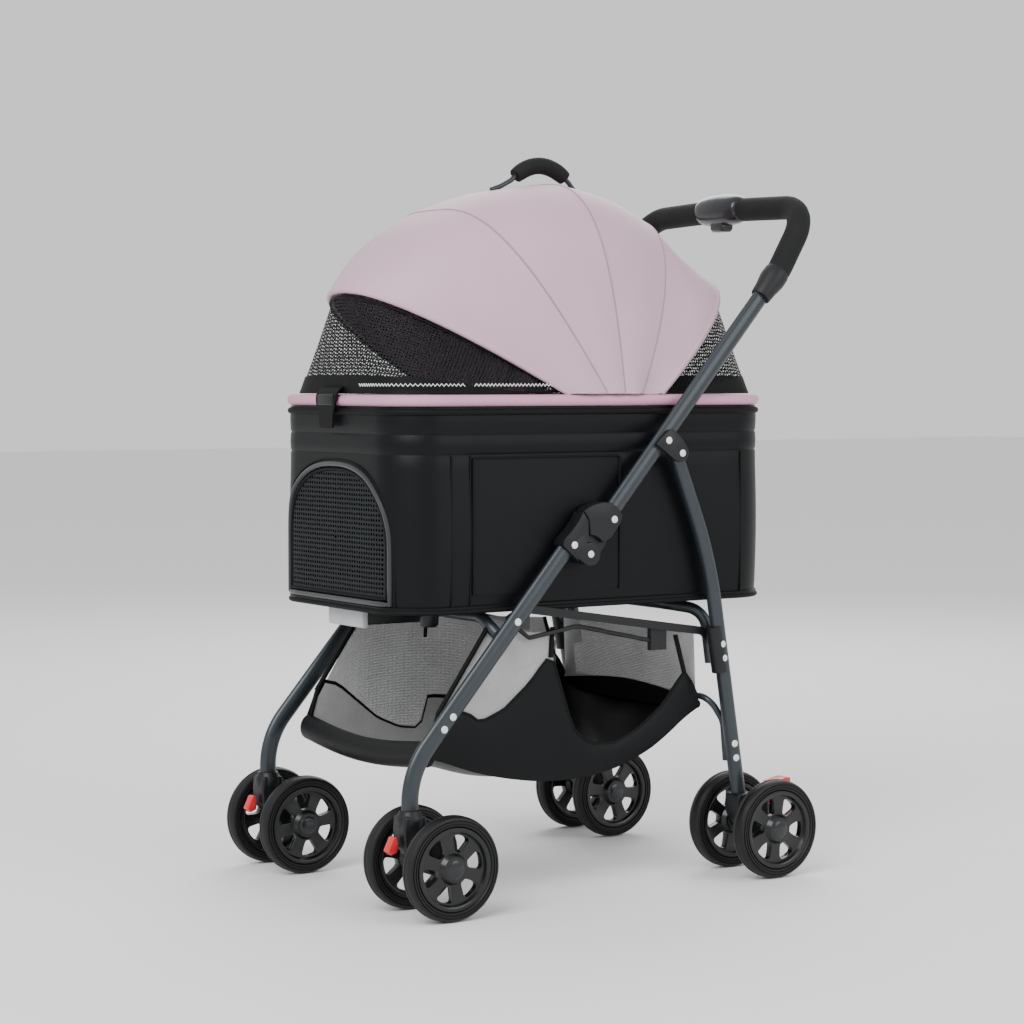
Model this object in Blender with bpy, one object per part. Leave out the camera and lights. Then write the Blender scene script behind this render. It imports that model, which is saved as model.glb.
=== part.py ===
"""A folding pet stroller with a lift-off fabric carrier.

Metres, +Z up. The front of the stroller faces -Y, +X is its left side, and the origin is the
middle of its footprint on the ground. Every side view position below is a (Y, Z) pair.
"""

import math

import bmesh
import bpy
from mathutils import Matrix, Vector

# ---- driving dimensions ----------------------------------------------------------------------
gap = 0.0003
wheelRadius = 0.067
wheelWidth = 0.023
twinSpacing = 0.097
wheelPairX = 0.190
frontAxleY = -0.281
rearAxleY = 0.237
axleRadius = 0.004
axleBore = 0.0045

legX = 0.190
legHeight = 0.024
legThickness = 0.014
tubeSlope = math.radians(49)
swivelY = -0.3115
legFoot = 0.134
tubeOffset = 0.024
rearLegX = 0.1875
rearLegRadius = 0.010

linkPivot = Vector((-0.1535, 0.3654))
foldPivot = Vector((-0.0422, 0.4487))
bracketPivot = Vector((0.1042, 0.5782))
rearLinkPivot = Vector((0.1786, 0.3182))

handleBarY = 0.3315
handleBarZ = 0.918
gripRadius = 0.0165

carrierY = -0.011
carrierHalfWidth = 0.170
carrierHalfLength = 0.300
carrierCorner = 0.066
carrierFloor = 0.378
carrierTop = 0.641
wall = 0.004
rimRadius = 0.0075
rimZ = 0.649

hubY = 0.0386
hubZ = 0.6076
hoodHalfWidth = 0.172
hoodFoot = 0.661
# the hood's arches: angle above the rear, reach from the pivot line in the middle of the
# stroller, and squareness, where 2 is an ellipse
hoodShape = ((41.6, 0.3126, 2.44), (53.4, 0.2880, 2.25), (65.2, 0.3188, 2.06),
             (81.05, 0.3140, 2.80), (96.9, 0.3341, 3.50), (110.65, 0.3400, 3.40),
             (124.4, 0.3544, 3.27), (137.85, 0.3260, 2.75), (149.0, 0.3860, 2.26),
             (151.3, 0.3875, 2.22))
rearLipAngle = 41.6
rearRibAngle = 65.2
centreRibAngle = 96.9
frontRibAngle = 124.4
frontLipAngle = 151.3
ribRadius = 0.0025
ribInset = 0.0055
canopyInset = 0.0095
canopyReach = 0.275
canopyPower = 2.2
canopyAhead = 2.0
fabric = 0.0025
topZ = 0.980

along = Vector((math.cos(tubeSlope), math.sin(tubeSlope)))
across = Vector((math.sin(tubeSlope), -math.cos(tubeSlope)))
sides = (("left", 1), ("right", -1))

for old in list(bpy.data.objects):
    bpy.data.objects.remove(old, do_unlink=True)


# ---- materials -------------------------------------------------------------------------------
def finish(name, colour, roughness, metallic=0.0):
    material = bpy.data.materials.new(name)
    material.use_nodes = True
    shader = material.node_tree.nodes["Principled BSDF"]
    shader.inputs["Base Color"].default_value = (*colour, 1)
    shader.inputs["Roughness"].default_value = roughness
    shader.inputs["Metallic"].default_value = metallic
    return material


finishes = {
    "frame": ((0.045, 0.055, 0.062), 0.35, 0.7),
    "plastic": ((0.015, 0.017, 0.019), 0.45, 0.0),
    "steel": ((0.62, 0.63, 0.65), 0.3, 1.0),
    "red": ((0.75, 0.04, 0.03), 0.4, 0.0),
    "tyre": ((0.012, 0.012, 0.013), 0.6, 0.0),
    "foam": ((0.010, 0.010, 0.011), 0.85, 0.0),
    "cloth": ((0.008, 0.008, 0.010), 0.8, 0.0),
    "pink": ((0.55, 0.38, 0.47), 0.7, 0.0),
    "mesh": ((0.02, 0.02, 0.022), 0.9, 0.0),
    "grey": ((0.30, 0.32, 0.33), 0.5, 0.0),
}


# ---- building blocks -------------------------------------------------------------------------
def addObject(name, bm, look, origin=(0, 0, 0), smooth=True):
    """Makes a node from bm, whose points are in the stroller's frame, with its own origin."""
    bmesh.ops.recalc_face_normals(bm, faces=bm.faces)
    mesh = bpy.data.meshes.new(name)
    bm.transform(Matrix.Translation(-Vector(origin)))
    bm.to_mesh(mesh)
    bm.free()
    if smooth:
        mesh.shade_smooth()
        mesh.set_sharp_from_angle(angle=math.radians(35))
    piece = bpy.data.objects.new(name, mesh)
    piece.location = origin
    bpy.context.collection.objects.link(piece)
    mesh.materials.append(finish(name + "_finish", *finishes[look]))
    return piece


def boolean(piece, cutter, operation="DIFFERENCE"):
    """Adds an exact Boolean of a guide object, which stays in the scene as a hidden cutter."""
    cutter.hide_render = True
    cutter.display_type = "WIRE"
    modifier = piece.modifiers.new("cut", "BOOLEAN")
    modifier.operation = operation
    modifier.solver = "EXACT"
    modifier.object = cutter


def bevelled(piece, width, segments=2):
    modifier = piece.modifiers.new("soft edges", "BEVEL")
    modifier.width = width
    modifier.segments = segments
    modifier.limit_method = "ANGLE"
    modifier.angle_limit = math.radians(40)


def bentPath(corners, radii, steps=6):
    """Points along a tube bent at its corners, each bend an arc of the given radius."""
    corners = [Vector(c) for c in corners]
    points = [corners[0]]
    for i in range(1, len(corners) - 1):
        here = corners[i]
        back = (corners[i - 1] - here).normalized()
        onward = (corners[i + 1] - here).normalized()
        half = back.angle(onward) / 2
        reach = radii[i - 1] / math.tan(half)
        centre = here + (back + onward).normalized() * (radii[i - 1] / math.sin(half))
        first = here + back * reach - centre
        last = here + onward * reach - centre
        for k in range(steps + 1):
            points.append(centre + first.slerp(last, k / steps) * radii[i - 1])
    points.append(corners[-1])
    return points


def sectionRing(width, height, count):
    """An oval section; width lies along the sweep's side direction, height along its up one."""
    return [(width / 2 * math.cos(2 * math.pi * k / count),
             height / 2 * math.sin(2 * math.pi * k / count)) for k in range(count)]


def boxRing(width, height):
    return [(width / 2, -height / 2), (width / 2, height / 2),
            (-width / 2, height / 2), (-width / 2, -height / 2)]


def sweep(bm, path, ring, side=(1, 0, 0), closed=False):
    """Sweeps a section along a path; side is the direction that the section's width keeps to."""
    rings = []
    count = len(path)
    for i, point in enumerate(path):
        before = path[(i - 1) % count] if closed or i else path[0]
        after = path[(i + 1) % count] if closed or i < count - 1 else path[-1]
        ahead = (after - before).normalized()
        sideways = Vector(side) - ahead * Vector(side).dot(ahead)
        sideways.normalize()
        up = sideways.cross(ahead)
        rings.append([bm.verts.new(point + sideways * x + up * y) for x, y in ring])
    pairs = list(zip(rings, rings[1:]))
    if closed:
        pairs.append((rings[-1], rings[0]))
    for one, two in pairs:
        for k in range(len(ring)):
            j = (k + 1) % len(ring)
            bm.faces.new((one[k], one[j], two[j], two[k]))
    if not closed:
        bm.faces.new(rings[0][::-1])
        bm.faces.new(rings[-1])
    return bm


def sweepTurning(bm, path, radius, count):
    """Sweeps a round section along a path that turns in space, without twisting it."""
    ahead = (path[1] - path[0]).normalized()
    sideways = ahead.orthogonal().normalized()
    rings = []
    for i, point in enumerate(path):
        onward = (path[min(i + 1, len(path) - 1)] - path[max(i - 1, 0)]).normalized()
        sideways = (sideways - onward * sideways.dot(onward)).normalized()
        up = sideways.cross(onward)
        rings.append([bm.verts.new(point + (sideways * math.cos(2 * math.pi * k / count)
                                            + up * math.sin(2 * math.pi * k / count)) * radius)
                      for k in range(count)])
    for one, two in zip(rings, rings[1:]):
        for k in range(count):
            j = (k + 1) % count
            bm.faces.new((one[k], one[j], two[j], two[k]))
    bm.faces.new(rings[0][::-1])
    bm.faces.new(rings[-1])
    return bm


def extrudeAcross(bm, outline, low, high):
    """A plate: a (Y, Z) outline given thickness along X."""
    near = [bm.verts.new((high, y, z)) for y, z in outline]
    far = [bm.verts.new((low, y, z)) for y, z in outline]
    bm.faces.new(near)
    bm.faces.new(far[::-1])
    for k in range(len(outline)):
        j = (k + 1) % len(outline)
        bm.faces.new((near[k], far[k], far[j], near[j]))
    return bm


def block(bm, low, high):
    outline = ((low[1], low[2]), (high[1], low[2]), (high[1], high[2]), (low[1], high[2]))
    return extrudeAcross(bm, outline, low[0], high[0])


def cylinder(bm, centre, axis, radius, length, count=16):
    turn = Vector((0, 0, 1)).rotation_difference(Vector(axis)).to_matrix().to_4x4()
    bmesh.ops.create_cone(bm, cap_ends=True, segments=count, radius1=radius, radius2=radius,
                          depth=length, matrix=Matrix.Translation(centre) @ turn)
    return bm


def arc(centre, radius, start, end, steps):
    """Points (Y, Z) on an arc, from start to end in degrees, counted from +Y towards +Z."""
    angles = [math.radians(start + (end - start) * k / steps) for k in range(steps + 1)]
    return [(centre[0] + radius * math.cos(a), centre[1] + radius * math.sin(a)) for a in angles]


def onFrame(alongTube, acrossTube):
    """A (Y, Z) point measured along the lower tube from the link pivot, and across it."""
    return linkPivot + along * alongTube + across * acrossTube


def inSpace(x, point):
    return Vector((x, point[0], point[1]))


def guide(name, bm):
    return addObject(name, bm, "plastic", smooth=False)


def joined(name, look, shapes, origin=(0, 0, 0), smooth=True):
    """One solid from overlapping shapes, each a bmesh: the first is the node, the rest unite."""
    piece = addObject(name, shapes[0], look, origin, smooth)
    for k, shape in enumerate(shapes[1:]):
        boolean(piece, guide(f"{name}_guide{k}", shape), "UNION")
    return piece


# ---- wheels and casters ----------------------------------------------------------------------
def wheel(name, x, y):
    """A spoked wheel: tyre, rim, web with six openings, and a bored boss."""
    segments = 20
    half = wheelWidth / 2
    profile = [(axleBore, half), (0.014, half), (0.014, 0.006), (0.051, 0.006), (0.056, half),
               (0.063, half), (wheelRadius, half * 0.45)]
    profile += [(r, -w) for r, w in reversed(profile)]
    centre = Vector((x, y, wheelRadius))
    bm = bmesh.new()
    rings = []
    for s in range(segments):
        angle = 2 * math.pi * s / segments - math.pi / 2
        out = Vector((0, math.cos(angle), math.sin(angle)))
        rings.append([bm.verts.new(centre + out * r + Vector((w, 0, 0))) for r, w in profile])
    for s in range(segments):
        one, two = rings[s], rings[(s + 1) % segments]
        for k in range(len(profile)):
            j = (k + 1) % len(profile)
            bm.faces.new((one[k], one[j], two[j], two[k]))
    piece = addObject(name, bm, "tyre", centre)
    spokes = bmesh.new()
    for s in range(6):
        middle = 30 + 60 * s
        outline = (arc((y, wheelRadius), 0.046, middle - 17, middle + 17, 3)
                   + arc((y, wheelRadius), 0.019, middle + 9, middle - 9, 1))
        extrudeAcross(spokes, outline, x - 0.03, x + 0.03)
    boolean(piece, guide(name + "_openings", spokes))
    return piece


def wheelPair(end, side, sign, y):
    for place, offset in (("outer", 1), ("inner", -1)):
        wheel(f"wheel_{end}_{side}_{place}", sign * (wheelPairX + offset * twinSpacing / 2), y)
    axle = bmesh.new()
    cylinder(axle, (sign * wheelPairX, y, wheelRadius), (1, 0, 0), axleRadius,
             twinSpacing + wheelWidth - 0.002, 12)
    addObject(f"axle_{end}_{side}", axle, "steel", (sign * wheelPairX, y, wheelRadius))


def caster(side, sign):
    """The swivel housing between the twin front wheels, on a vertical spindle."""
    x = sign * wheelPairX
    body = bmesh.new()
    outline = [(swivelY - 0.015, 0.128), (swivelY - 0.017, 0.092)]
    outline += arc((frontAxleY, wheelRadius), 0.014, 235, 360, 5)
    outline += [(frontAxleY + 0.012, 0.090), (swivelY + 0.016, 0.120), (swivelY + 0.015, 0.128)]
    extrudeAcross(body, outline, x - 0.0155, x + 0.0155)
    collar = cylinder(bmesh.new(), (x, swivelY, 0.125), (0, 0, 1), 0.0165, 0.016, 20)
    piece = joined(f"caster_{side}", "plastic", [body, collar], (x, swivelY, 0))
    bore = cylinder(bmesh.new(), (x, frontAxleY, wheelRadius), (1, 0, 0), axleBore, 0.06, 12)
    boolean(piece, guide(f"caster_{side}_bore", bore))
    lock = bmesh.new()
    hinge = (swivelY - 0.0245, 0.101)
    outline = arc(hinge, 0.0045, 60, 180, 4)
    outline += [(hinge[0] - 0.010, 0.088), (hinge[0] - 0.006, 0.083), (hinge[0] + 0.003, 0.086),
                (hinge[0] + 0.0045, 0.097)]
    extrudeAcross(lock, outline, x - 0.009, x + 0.009)
    addObject(f"swivel_lock_{side}", lock, "red", inSpace(x, hinge))


def rearHousing(side, sign):
    """The moulded foot of a rear leg: it holds the axle and carries the brake pedal."""
    x = sign * wheelPairX
    body = bmesh.new()
    top = 0.104
    legY = rearLegY(top)
    outline = [(legY - 0.015, top), (legY - 0.015, 0.085)]
    outline += arc((rearAxleY, wheelRadius), 0.015, 215, 335, 5)
    outline += [(rearAxleY + 0.0165, 0.076), (rearAxleY + 0.0165, top)]
    extrudeAcross(body, outline, x - 0.016, x + 0.016)
    piece = addObject(f"rear_housing_{side}", body, "plastic", (x, rearAxleY, wheelRadius))
    bore = cylinder(bmesh.new(), (x, rearAxleY, wheelRadius), (1, 0, 0), axleBore, 0.06, 12)
    boolean(piece, guide(f"rear_housing_{side}_bore", bore))
    pedal = bmesh.new()
    hinge = (rearAxleY + 0.022, 0.098)
    outline = arc(hinge, 0.005, 150, 300, 4)
    outline += [(hinge[0] + 0.012, 0.110), (hinge[0] + 0.036, 0.120), (hinge[0] + 0.036, 0.128),
                (hinge[0] + 0.006, 0.124), (hinge[0] - 0.002, 0.110)]
    extrudeAcross(pedal, outline, x - 0.015, x + 0.015)
    addObject(f"brake_pedal_{side}", pedal, "red", inSpace(x, hinge))


# ---- legs ------------------------------------------------------------------------------------
rearLegKnee = Vector((0.1616, 0.4362))
rearLegFoot = Vector((0.2147, 0.107))


def rearLegY(z):
    """Where the straight lower part of a rear leg stands at height z."""
    share = (z - rearLegFoot[1]) / (rearLegKnee[1] - rearLegFoot[1])
    return rearLegFoot[0] + (rearLegKnee[0] - rearLegFoot[0]) * share


def frontLeg(side, sign):
    x = sign * legX
    top = onFrame(0.1165, 0)
    turn = linkPivot - along * ((linkPivot[0] - swivelY) / along[0])
    path = bentPath((inSpace(x, top), inSpace(x, turn), (x, swivelY, legFoot)), (0.105,))
    ring = sectionRing(legThickness, legHeight, 12)
    addObject(f"front_leg_{side}", sweep(bmesh.new(), path, ring), "frame", inSpace(x, linkPivot))


def rearLeg(side, sign):
    x = sign * rearLegX
    path = bentPath((inSpace(x, bracketPivot), inSpace(x, rearLegKnee), inSpace(x, rearLegFoot)),
                    (0.60,), 5)
    ring = sectionRing(2 * rearLegRadius, 2 * rearLegRadius, 12)
    addObject(f"rear_leg_{side}", sweep(bmesh.new(), path, ring), "frame",
              inSpace(x, bracketPivot))


def foldJoint(side, sign):
    """The two halves of the fold joint, which meet on a curved line and turn about foldPivot."""
    low, high = sorted((sign * (legX - 0.011), sign * (legX + 0.011)))
    innerFace, outerFace = sign * (legX - 0.011), sign * (legX + 0.011)
    split = sign * (legX + 0.004)
    pivot = (0.1359, 0.0293)
    lower = [onFrame(0.117, -0.016), onFrame(0.170, -0.016), onFrame(0.166, -0.002)]
    turnIn = [onFrame(pivot[0] + 0.021 * math.cos(math.radians(a)),
                      pivot[1] + 0.021 * math.sin(math.radians(a)))
              for a in (-50, -70, -90, -115, -140, -165)]
    lower += turnIn
    lower += [onFrame(0.117, 0.020)]
    body = extrudeAcross(bmesh.new(), lower, low, high)
    cheek = [onFrame(pivot[0] + 0.015 * math.cos(math.radians(a)),
                     pivot[1] + 0.015 * math.sin(math.radians(a))) for a in range(-60, 181, 20)]
    cheek += [onFrame(0.118, 0.012), onFrame(0.128, -0.004), onFrame(0.150, 0.004)]
    plate = extrudeAcross(bmesh.new(), cheek, *sorted((split + sign * gap, outerFace)))
    joined(f"fold_joint_lower_{side}", "plastic", [body, plate], inSpace(sign * legX, foldPivot))

    upper = [onFrame(0.1715, -0.0155), onFrame(0.190, -0.007), onFrame(0.207, 0.009),
             onFrame(0.207, 0.037), onFrame(0.190, 0.041), onFrame(0.172, 0.041)]
    upper += [onFrame(pivot[0] + 0.0245 * math.cos(math.radians(a)),
                      pivot[1] + 0.0245 * math.sin(math.radians(a))) for a in (15, -15, -42)]
    upper += [onFrame(0.1685, -0.002)]
    shell = extrudeAcross(bmesh.new(), upper, low, high)
    tongue = [onFrame(pivot[0] + 0.0145 * math.cos(math.radians(a)),
                      pivot[1] + 0.0145 * math.sin(math.radians(a))) for a in range(90, 271, 20)]
    tongue += [onFrame(0.180, 0.0148), onFrame(0.180, 0.0385), onFrame(0.160, 0.0438)]
    inner = extrudeAcross(bmesh.new(), tongue, *sorted((innerFace, split - sign * gap)))
    joined(f"fold_joint_upper_{side}", "plastic", [shell, inner],
           inSpace(sign * legX, foldPivot))


def legBracket(side, sign):
    """The cover plate that joins a rear leg's head to the handle tube."""
    centre = onFrame(0.330, tubeOffset)
    outline = [(0.0614, 0.5903), (0.0825, 0.6102), (0.0956, 0.6056), (0.1088, 0.5922),
               (0.1150, 0.5816), (0.1135, 0.5724), (0.1056, 0.5663), (0.0925, 0.5682),
               (0.0793, 0.5782), (0.0663, 0.5876)]
    plate = extrudeAcross(bmesh.new(), outline, *sorted((sign * 0.1989, sign * 0.2045)))
    piece = addObject(f"leg_bracket_{side}", plate, "plastic", inSpace(sign * 0.2, centre))
    bevelled(piece, 0.0015, 1)


def sideLink(side, sign):
    """The flat bar that ties a front leg to a rear leg, with its hooked lock rod."""
    x = sign * 0.1725
    path = bentPath((inSpace(x, linkPivot), (x, -0.129, 0.3797), (x, 0.163, 0.3352),
                     inSpace(x, rearLinkPivot)), (0.015, 0.015), 3)
    addObject(f"side_link_{side}", sweep(bmesh.new(), path, boxRing(0.004, 0.011)), "frame",
              inSpace(x, linkPivot), smooth=False)
    x = sign * 0.1660
    rod = bentPath(((x, -0.138, 0.357), (x, -0.116, 0.340), (x, -0.040, 0.352), (x, 0.090, 0.324)),
                   (0.010, 0.05), 3)
    shaft = sweepTurning(bmesh.new(), rod, 0.003, 8)
    hook = block(bmesh.new(), (x - 0.004, 0.078, 0.313), (x + 0.004, 0.104, 0.346))
    joined(f"latch_hook_{side}", "plastic", [hook, shaft], (x, 0.090, 0.330))


def crossTubes():
    """The bent tubes that the carrier stands on, and the bar that holds the basket's back."""
    seatZ = 0.3695
    front = [(0.1821, -0.166, 0.346), (0.170, -0.166, 0.346), (0.145, -0.176, seatZ),
             (-0.145, -0.176, seatZ), (-0.170, -0.166, 0.346), (-0.1821, -0.166, 0.346)]
    tube = sweepTurning(bmesh.new(), bentPath(front, (0.010, 0.02, 0.02, 0.010), 3), 0.008, 10)
    addObject("front_support_tube", tube, "frame", (0, -0.176, seatZ))
    rear = [(0.160, 0.1865, 0.290), (0.160, 0.176, 0.362), (0.118, 0.140, seatZ),
            (-0.118, 0.140, seatZ), (-0.160, 0.176, 0.362), (-0.160, 0.1865, 0.290)]
    tube = sweepTurning(bmesh.new(), bentPath(rear, (0.03, 0.04, 0.04, 0.03), 4), 0.008, 10)
    addObject("rear_support_tube", tube, "frame", (0, 0.140, seatZ))
    basket = [(0.1715, 0.2048, 0.155), (0.1715, 0.1995, 0.2095), (0.1715, 0.176, 0.243),
              (-0.1715, 0.176, 0.243), (-0.1715, 0.1995, 0.2095), (-0.1715, 0.2048, 0.155)]
    tube = sweepTurning(bmesh.new(), bentPath(basket, (0.03, 0.02, 0.02, 0.03), 4), 0.0045, 8)
    addObject("basket_rear_bar", tube, "frame", (0, 0.176, 0.243))


# ---- handle ----------------------------------------------------------------------------------
upperStart = onFrame(0.2075, tubeOffset)
tubeEnd = onFrame(0.6150, tubeOffset)
gripBend = onFrame(0.6330, tubeOffset)
collarLength = 0.030


def handleSide(side, sign):
    x = sign * legX
    ring = sectionRing(legThickness, legHeight, 12)
    tube = sweep(bmesh.new(), [inSpace(x, upperStart), inSpace(x, tubeEnd)], ring)
    addObject(f"handle_tube_{side}", tube, "frame", inSpace(x, foldPivot))
    start = inSpace(x, tubeEnd + along * gap)
    corner = Vector((x, handleBarY, handleBarZ - 0.004))
    path = bentPath((start, inSpace(x, gripBend), corner,
                     (sign * 0.0475, handleBarY, handleBarZ)), (0.04, 0.052), 5)
    grip = sweepTurning(bmesh.new(), path, gripRadius, 12)
    addObject(f"handle_grip_{side}", grip, "foam", start)


def console():
    """The moulded housing in the middle of the handle, and the squeeze trigger under it."""
    bm = bmesh.new()
    rings = []
    for x, high, deep in ((-0.0470, 0.017, 0.017), (-0.038, 0.021, 0.022), (-0.018, 0.023, 0.025),
                          (0.018, 0.023, 0.025), (0.038, 0.021, 0.022), (0.0470, 0.017, 0.017)):
        rings.append([bm.verts.new((x, handleBarY - 0.004 + deep * 0.8 * math.cos(a),
                                    handleBarZ + 0.001 + high * 0.8 * math.sin(a)))
                      for a in (2 * math.pi * k / 14 for k in range(14))])
    for one, two in zip(rings, rings[1:]):
        for k in range(14):
            bm.faces.new((one[k], one[(k + 1) % 14], two[(k + 1) % 14], two[k]))
    bm.faces.new(rings[0][::-1])
    bm.faces.new(rings[-1])
    piece = addObject("handle_console", bm, "plastic", (0, handleBarY, handleBarZ))
    pocket = block(bmesh.new(), (-0.0145, handleBarY - 0.016, 0.880),
                   (0.0145, handleBarY + 0.008, 0.9125))
    boolean(piece, guide("console_pocket", pocket))
    trigger = block(bmesh.new(), (-0.0135, handleBarY - 0.015, 0.888),
                    (0.0135, handleBarY + 0.007, 0.9055))
    lever = addObject("fold_trigger", trigger, "plastic", (0, handleBarY, 0.9055))
    bevelled(lever, 0.002, 1)


# ---- carrier ---------------------------------------------------------------------------------
def roundedPlan(halfWidth, halfLength, corner, steps=6):
    """Points (X, Y) round the carrier's plan, with round corners."""
    points = []
    for sx, sy, start in ((1, -1, -90), (1, 1, 0), (-1, 1, 90), (-1, -1, 180)):
        for k in range(steps + 1):
            a = math.radians(start + 90 * k / steps)
            points.append((sx * (halfWidth - corner) + corner * math.cos(a),
                           carrierY + sy * (halfLength - corner) + corner * math.sin(a)))
    return points


def prism(bm, plan, low, high):
    top = [bm.verts.new((x, y, high)) for x, y in plan]
    bottom = [bm.verts.new((x, y, low)) for x, y in plan]
    bm.faces.new(top)
    bm.faces.new(bottom[::-1])
    for k in range(len(plan)):
        j = (k + 1) % len(plan)
        bm.faces.new((bottom[k], bottom[j], top[j], top[k]))
    return bm


doorSill = 0.392
doorShoulder = 0.460
doorHalfWidth = 0.130
doorRise = 0.104


def doorOutline(inset):
    """The arched doorway as (X, Z) points, made smaller by inset."""
    half = doorHalfWidth - inset
    points = [(-half, doorSill + inset), (half, doorSill + inset)]
    for k in range(13):
        a = math.pi * k / 12
        points.append((half * math.cos(a), doorShoulder + (doorRise - inset) * math.sin(a)))
    return points


def doorPrism(inset):
    bm = bmesh.new()
    outline = doorOutline(inset)
    near = [bm.verts.new((x, -0.40, z)) for x, z in outline]
    far = [bm.verts.new((x, -0.24, z)) for x, z in outline]
    bm.faces.new(near)
    bm.faces.new(far[::-1])
    for k in range(len(outline)):
        j = (k + 1) % len(outline)
        bm.faces.new((near[k], far[k], far[j], near[j]))
    return bm


def carrierTray(name, look, low):
    """The carrier's wall, with a floor of the same thickness when low is the carrier's floor."""
    outer = roundedPlan(carrierHalfWidth, carrierHalfLength, carrierCorner)
    inner = roundedPlan(carrierHalfWidth - wall, carrierHalfLength - wall, carrierCorner - wall)
    piece = addObject(name, prism(bmesh.new(), outer, low, carrierTop), look, (0, carrierY, low))
    hollowFrom = low + wall if low == carrierFloor else low - 0.01
    boolean(piece, guide(name + "_hollow", prism(bmesh.new(), inner, hollowFrom, 0.7)))
    return piece


def carrier():
    shell = carrierTray("carrier_shell", "cloth", carrierFloor)
    boolean(shell, guide("doorway", doorPrism(0)))
    door = carrierTray("front_door", "mesh", carrierFloor + 0.002)
    boolean(door, guide("door_shape", doorPrism(0.003)), "INTERSECT")

    plan = roundedPlan(carrierHalfWidth - 0.0035, carrierHalfLength - 0.0035, carrierCorner - 0.0035)
    path = [Vector((x, y, rimZ)) for x, y in plan]
    ring = sectionRing(2 * rimRadius, 2 * rimRadius, 8)
    rim = sweep(bmesh.new(), path, ring, side=(0, 0, 1), closed=True)
    addObject("carrier_rim", rim, "pink", (0, carrierY, rimZ))

    pad = prism(bmesh.new(), roundedPlan(0.157, 0.287, 0.055, 4), 0.3825, 0.4045)
    addObject("floor_cushion", pad, "cloth", (0, carrierY, 0.3825), smooth=False)

    under = carrierFloor - gap
    channel = block(bmesh.new(), (-0.042, -0.286, 0.356), (0.042, -0.188, under))
    plate = block(bmesh.new(), (-0.100, -0.280, under - 0.004), (0.100, -0.188, under))
    lugs = [cylinder(bmesh.new(), (sx * 0.068, -0.208, 0.3645), (0, 0, 1), 0.013, 0.025, 16)
            for sx in (1, -1)]
    joined("carrier_base", "plastic", [plate, channel, *lugs], (0, -0.237, under), smooth=False)
    catch = block(bmesh.new(), (-0.045, -0.2965, 0.3525), (0.045, -0.2865, under))
    piece = addObject("front_catch", catch, "grey", (0, -0.29, under), smooth=False)
    bevelled(piece, 0.002, 1)


# ---- hood and canopy -------------------------------------------------------------------------
def profile(angle):
    """The hood's reach and squareness at an angle, eased between the set arches."""
    for (a0, r0, p0), (a1, r1, p1) in zip(hoodShape, hoodShape[1:]):
        if angle <= a1:
            share = max(0.0, (angle - a0) / (a1 - a0))
            ease = 0.5 - 0.5 * math.cos(math.pi * share)
            return r0 + (r1 - r0) * ease, p0 + (p1 - p0) * ease
    return hoodShape[-1][1:]


def arch(angle, inset, steps, shape=None):
    """Points of the arch that stands at an angle, from the left foot over to the right one."""
    turn = math.radians(angle)
    radius, power = shape or profile(angle)
    radius -= inset
    half = hoodHalfWidth - inset
    foot = min(0.98, (hoodFoot - hubZ) / math.sin(turn) / radius)
    start = math.asin(foot ** (power / 2))
    points = []
    for k in range(steps + 1):
        t = start + (math.pi - 2 * start) * k / steps
        x = half * math.copysign(abs(math.cos(t)) ** (2 / power), math.cos(t))
        r = radius * math.sin(t) ** (2 / power)
        points.append(Vector((x, hubY + r * math.cos(turn), hubZ + r * math.sin(turn))))
    return points


def rimLine(end, startY, inset, steps):
    """The canopy's foot: from the left side round the front (-1) or the back (1) to the right."""
    half = hoodHalfWidth - inset
    reach = end * (carrierY - startY) + carrierHalfLength + 0.004 - inset
    points = []
    for k in range(steps + 1):
        t = math.pi * k / steps
        x = half * math.copysign(abs(math.cos(t)) ** 0.4, math.cos(t))
        points.append(Vector((x, startY + end * reach * abs(math.sin(t)) ** 0.4, hoodFoot)))
    return points


def shellFrom(name, look, outer, inner):
    """A cloth shell between two sheets of the same rows, closed all round its edge."""
    bm = bmesh.new()
    outer = [[bm.verts.new(p) for p in row] for row in outer]
    inner = [[bm.verts.new(p) for p in row] for row in inner]
    rows = len(outer) - 1
    steps = len(outer[0]) - 1
    for r in range(rows):
        for k in range(steps):
            bm.faces.new((outer[r][k], outer[r][k + 1], outer[r + 1][k + 1], outer[r + 1][k]))
            bm.faces.new((inner[r][k], inner[r + 1][k], inner[r + 1][k + 1], inner[r][k + 1]))
        for k in (0, steps):
            bm.faces.new((outer[r][k], outer[r + 1][k], inner[r + 1][k], inner[r][k]))
    for r in (0, rows):
        for k in range(steps):
            bm.faces.new((outer[r][k], inner[r][k], inner[r][k + 1], outer[r][k + 1]))
    return addObject(name, bm, look, (0, hubY, hubZ))


def domeRows(angles, inset, steps=12, shape=None):
    return [arch(a, inset, steps, shape) for a in angles]


def apronRows(end, lipAngle, inset, steps=12):
    """Rows of the canopy from just past a lip down to the rim."""
    lip = arch(lipAngle - end * canopyAhead, inset, steps)
    foot = rimLine(end, lip[0][1] + end * 0.02, inset, steps)
    return [[one.lerp(two, s) for one, two in zip(lip, foot)] for s in (0.0, 0.34, 0.67, 1.0)]


def rib(name, angle):
    path = arch(angle, ribInset, 12)
    addObject(name, sweepTurning(bmesh.new(), path, ribRadius, 6), "plastic", (0, hubY, hubZ))


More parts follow.
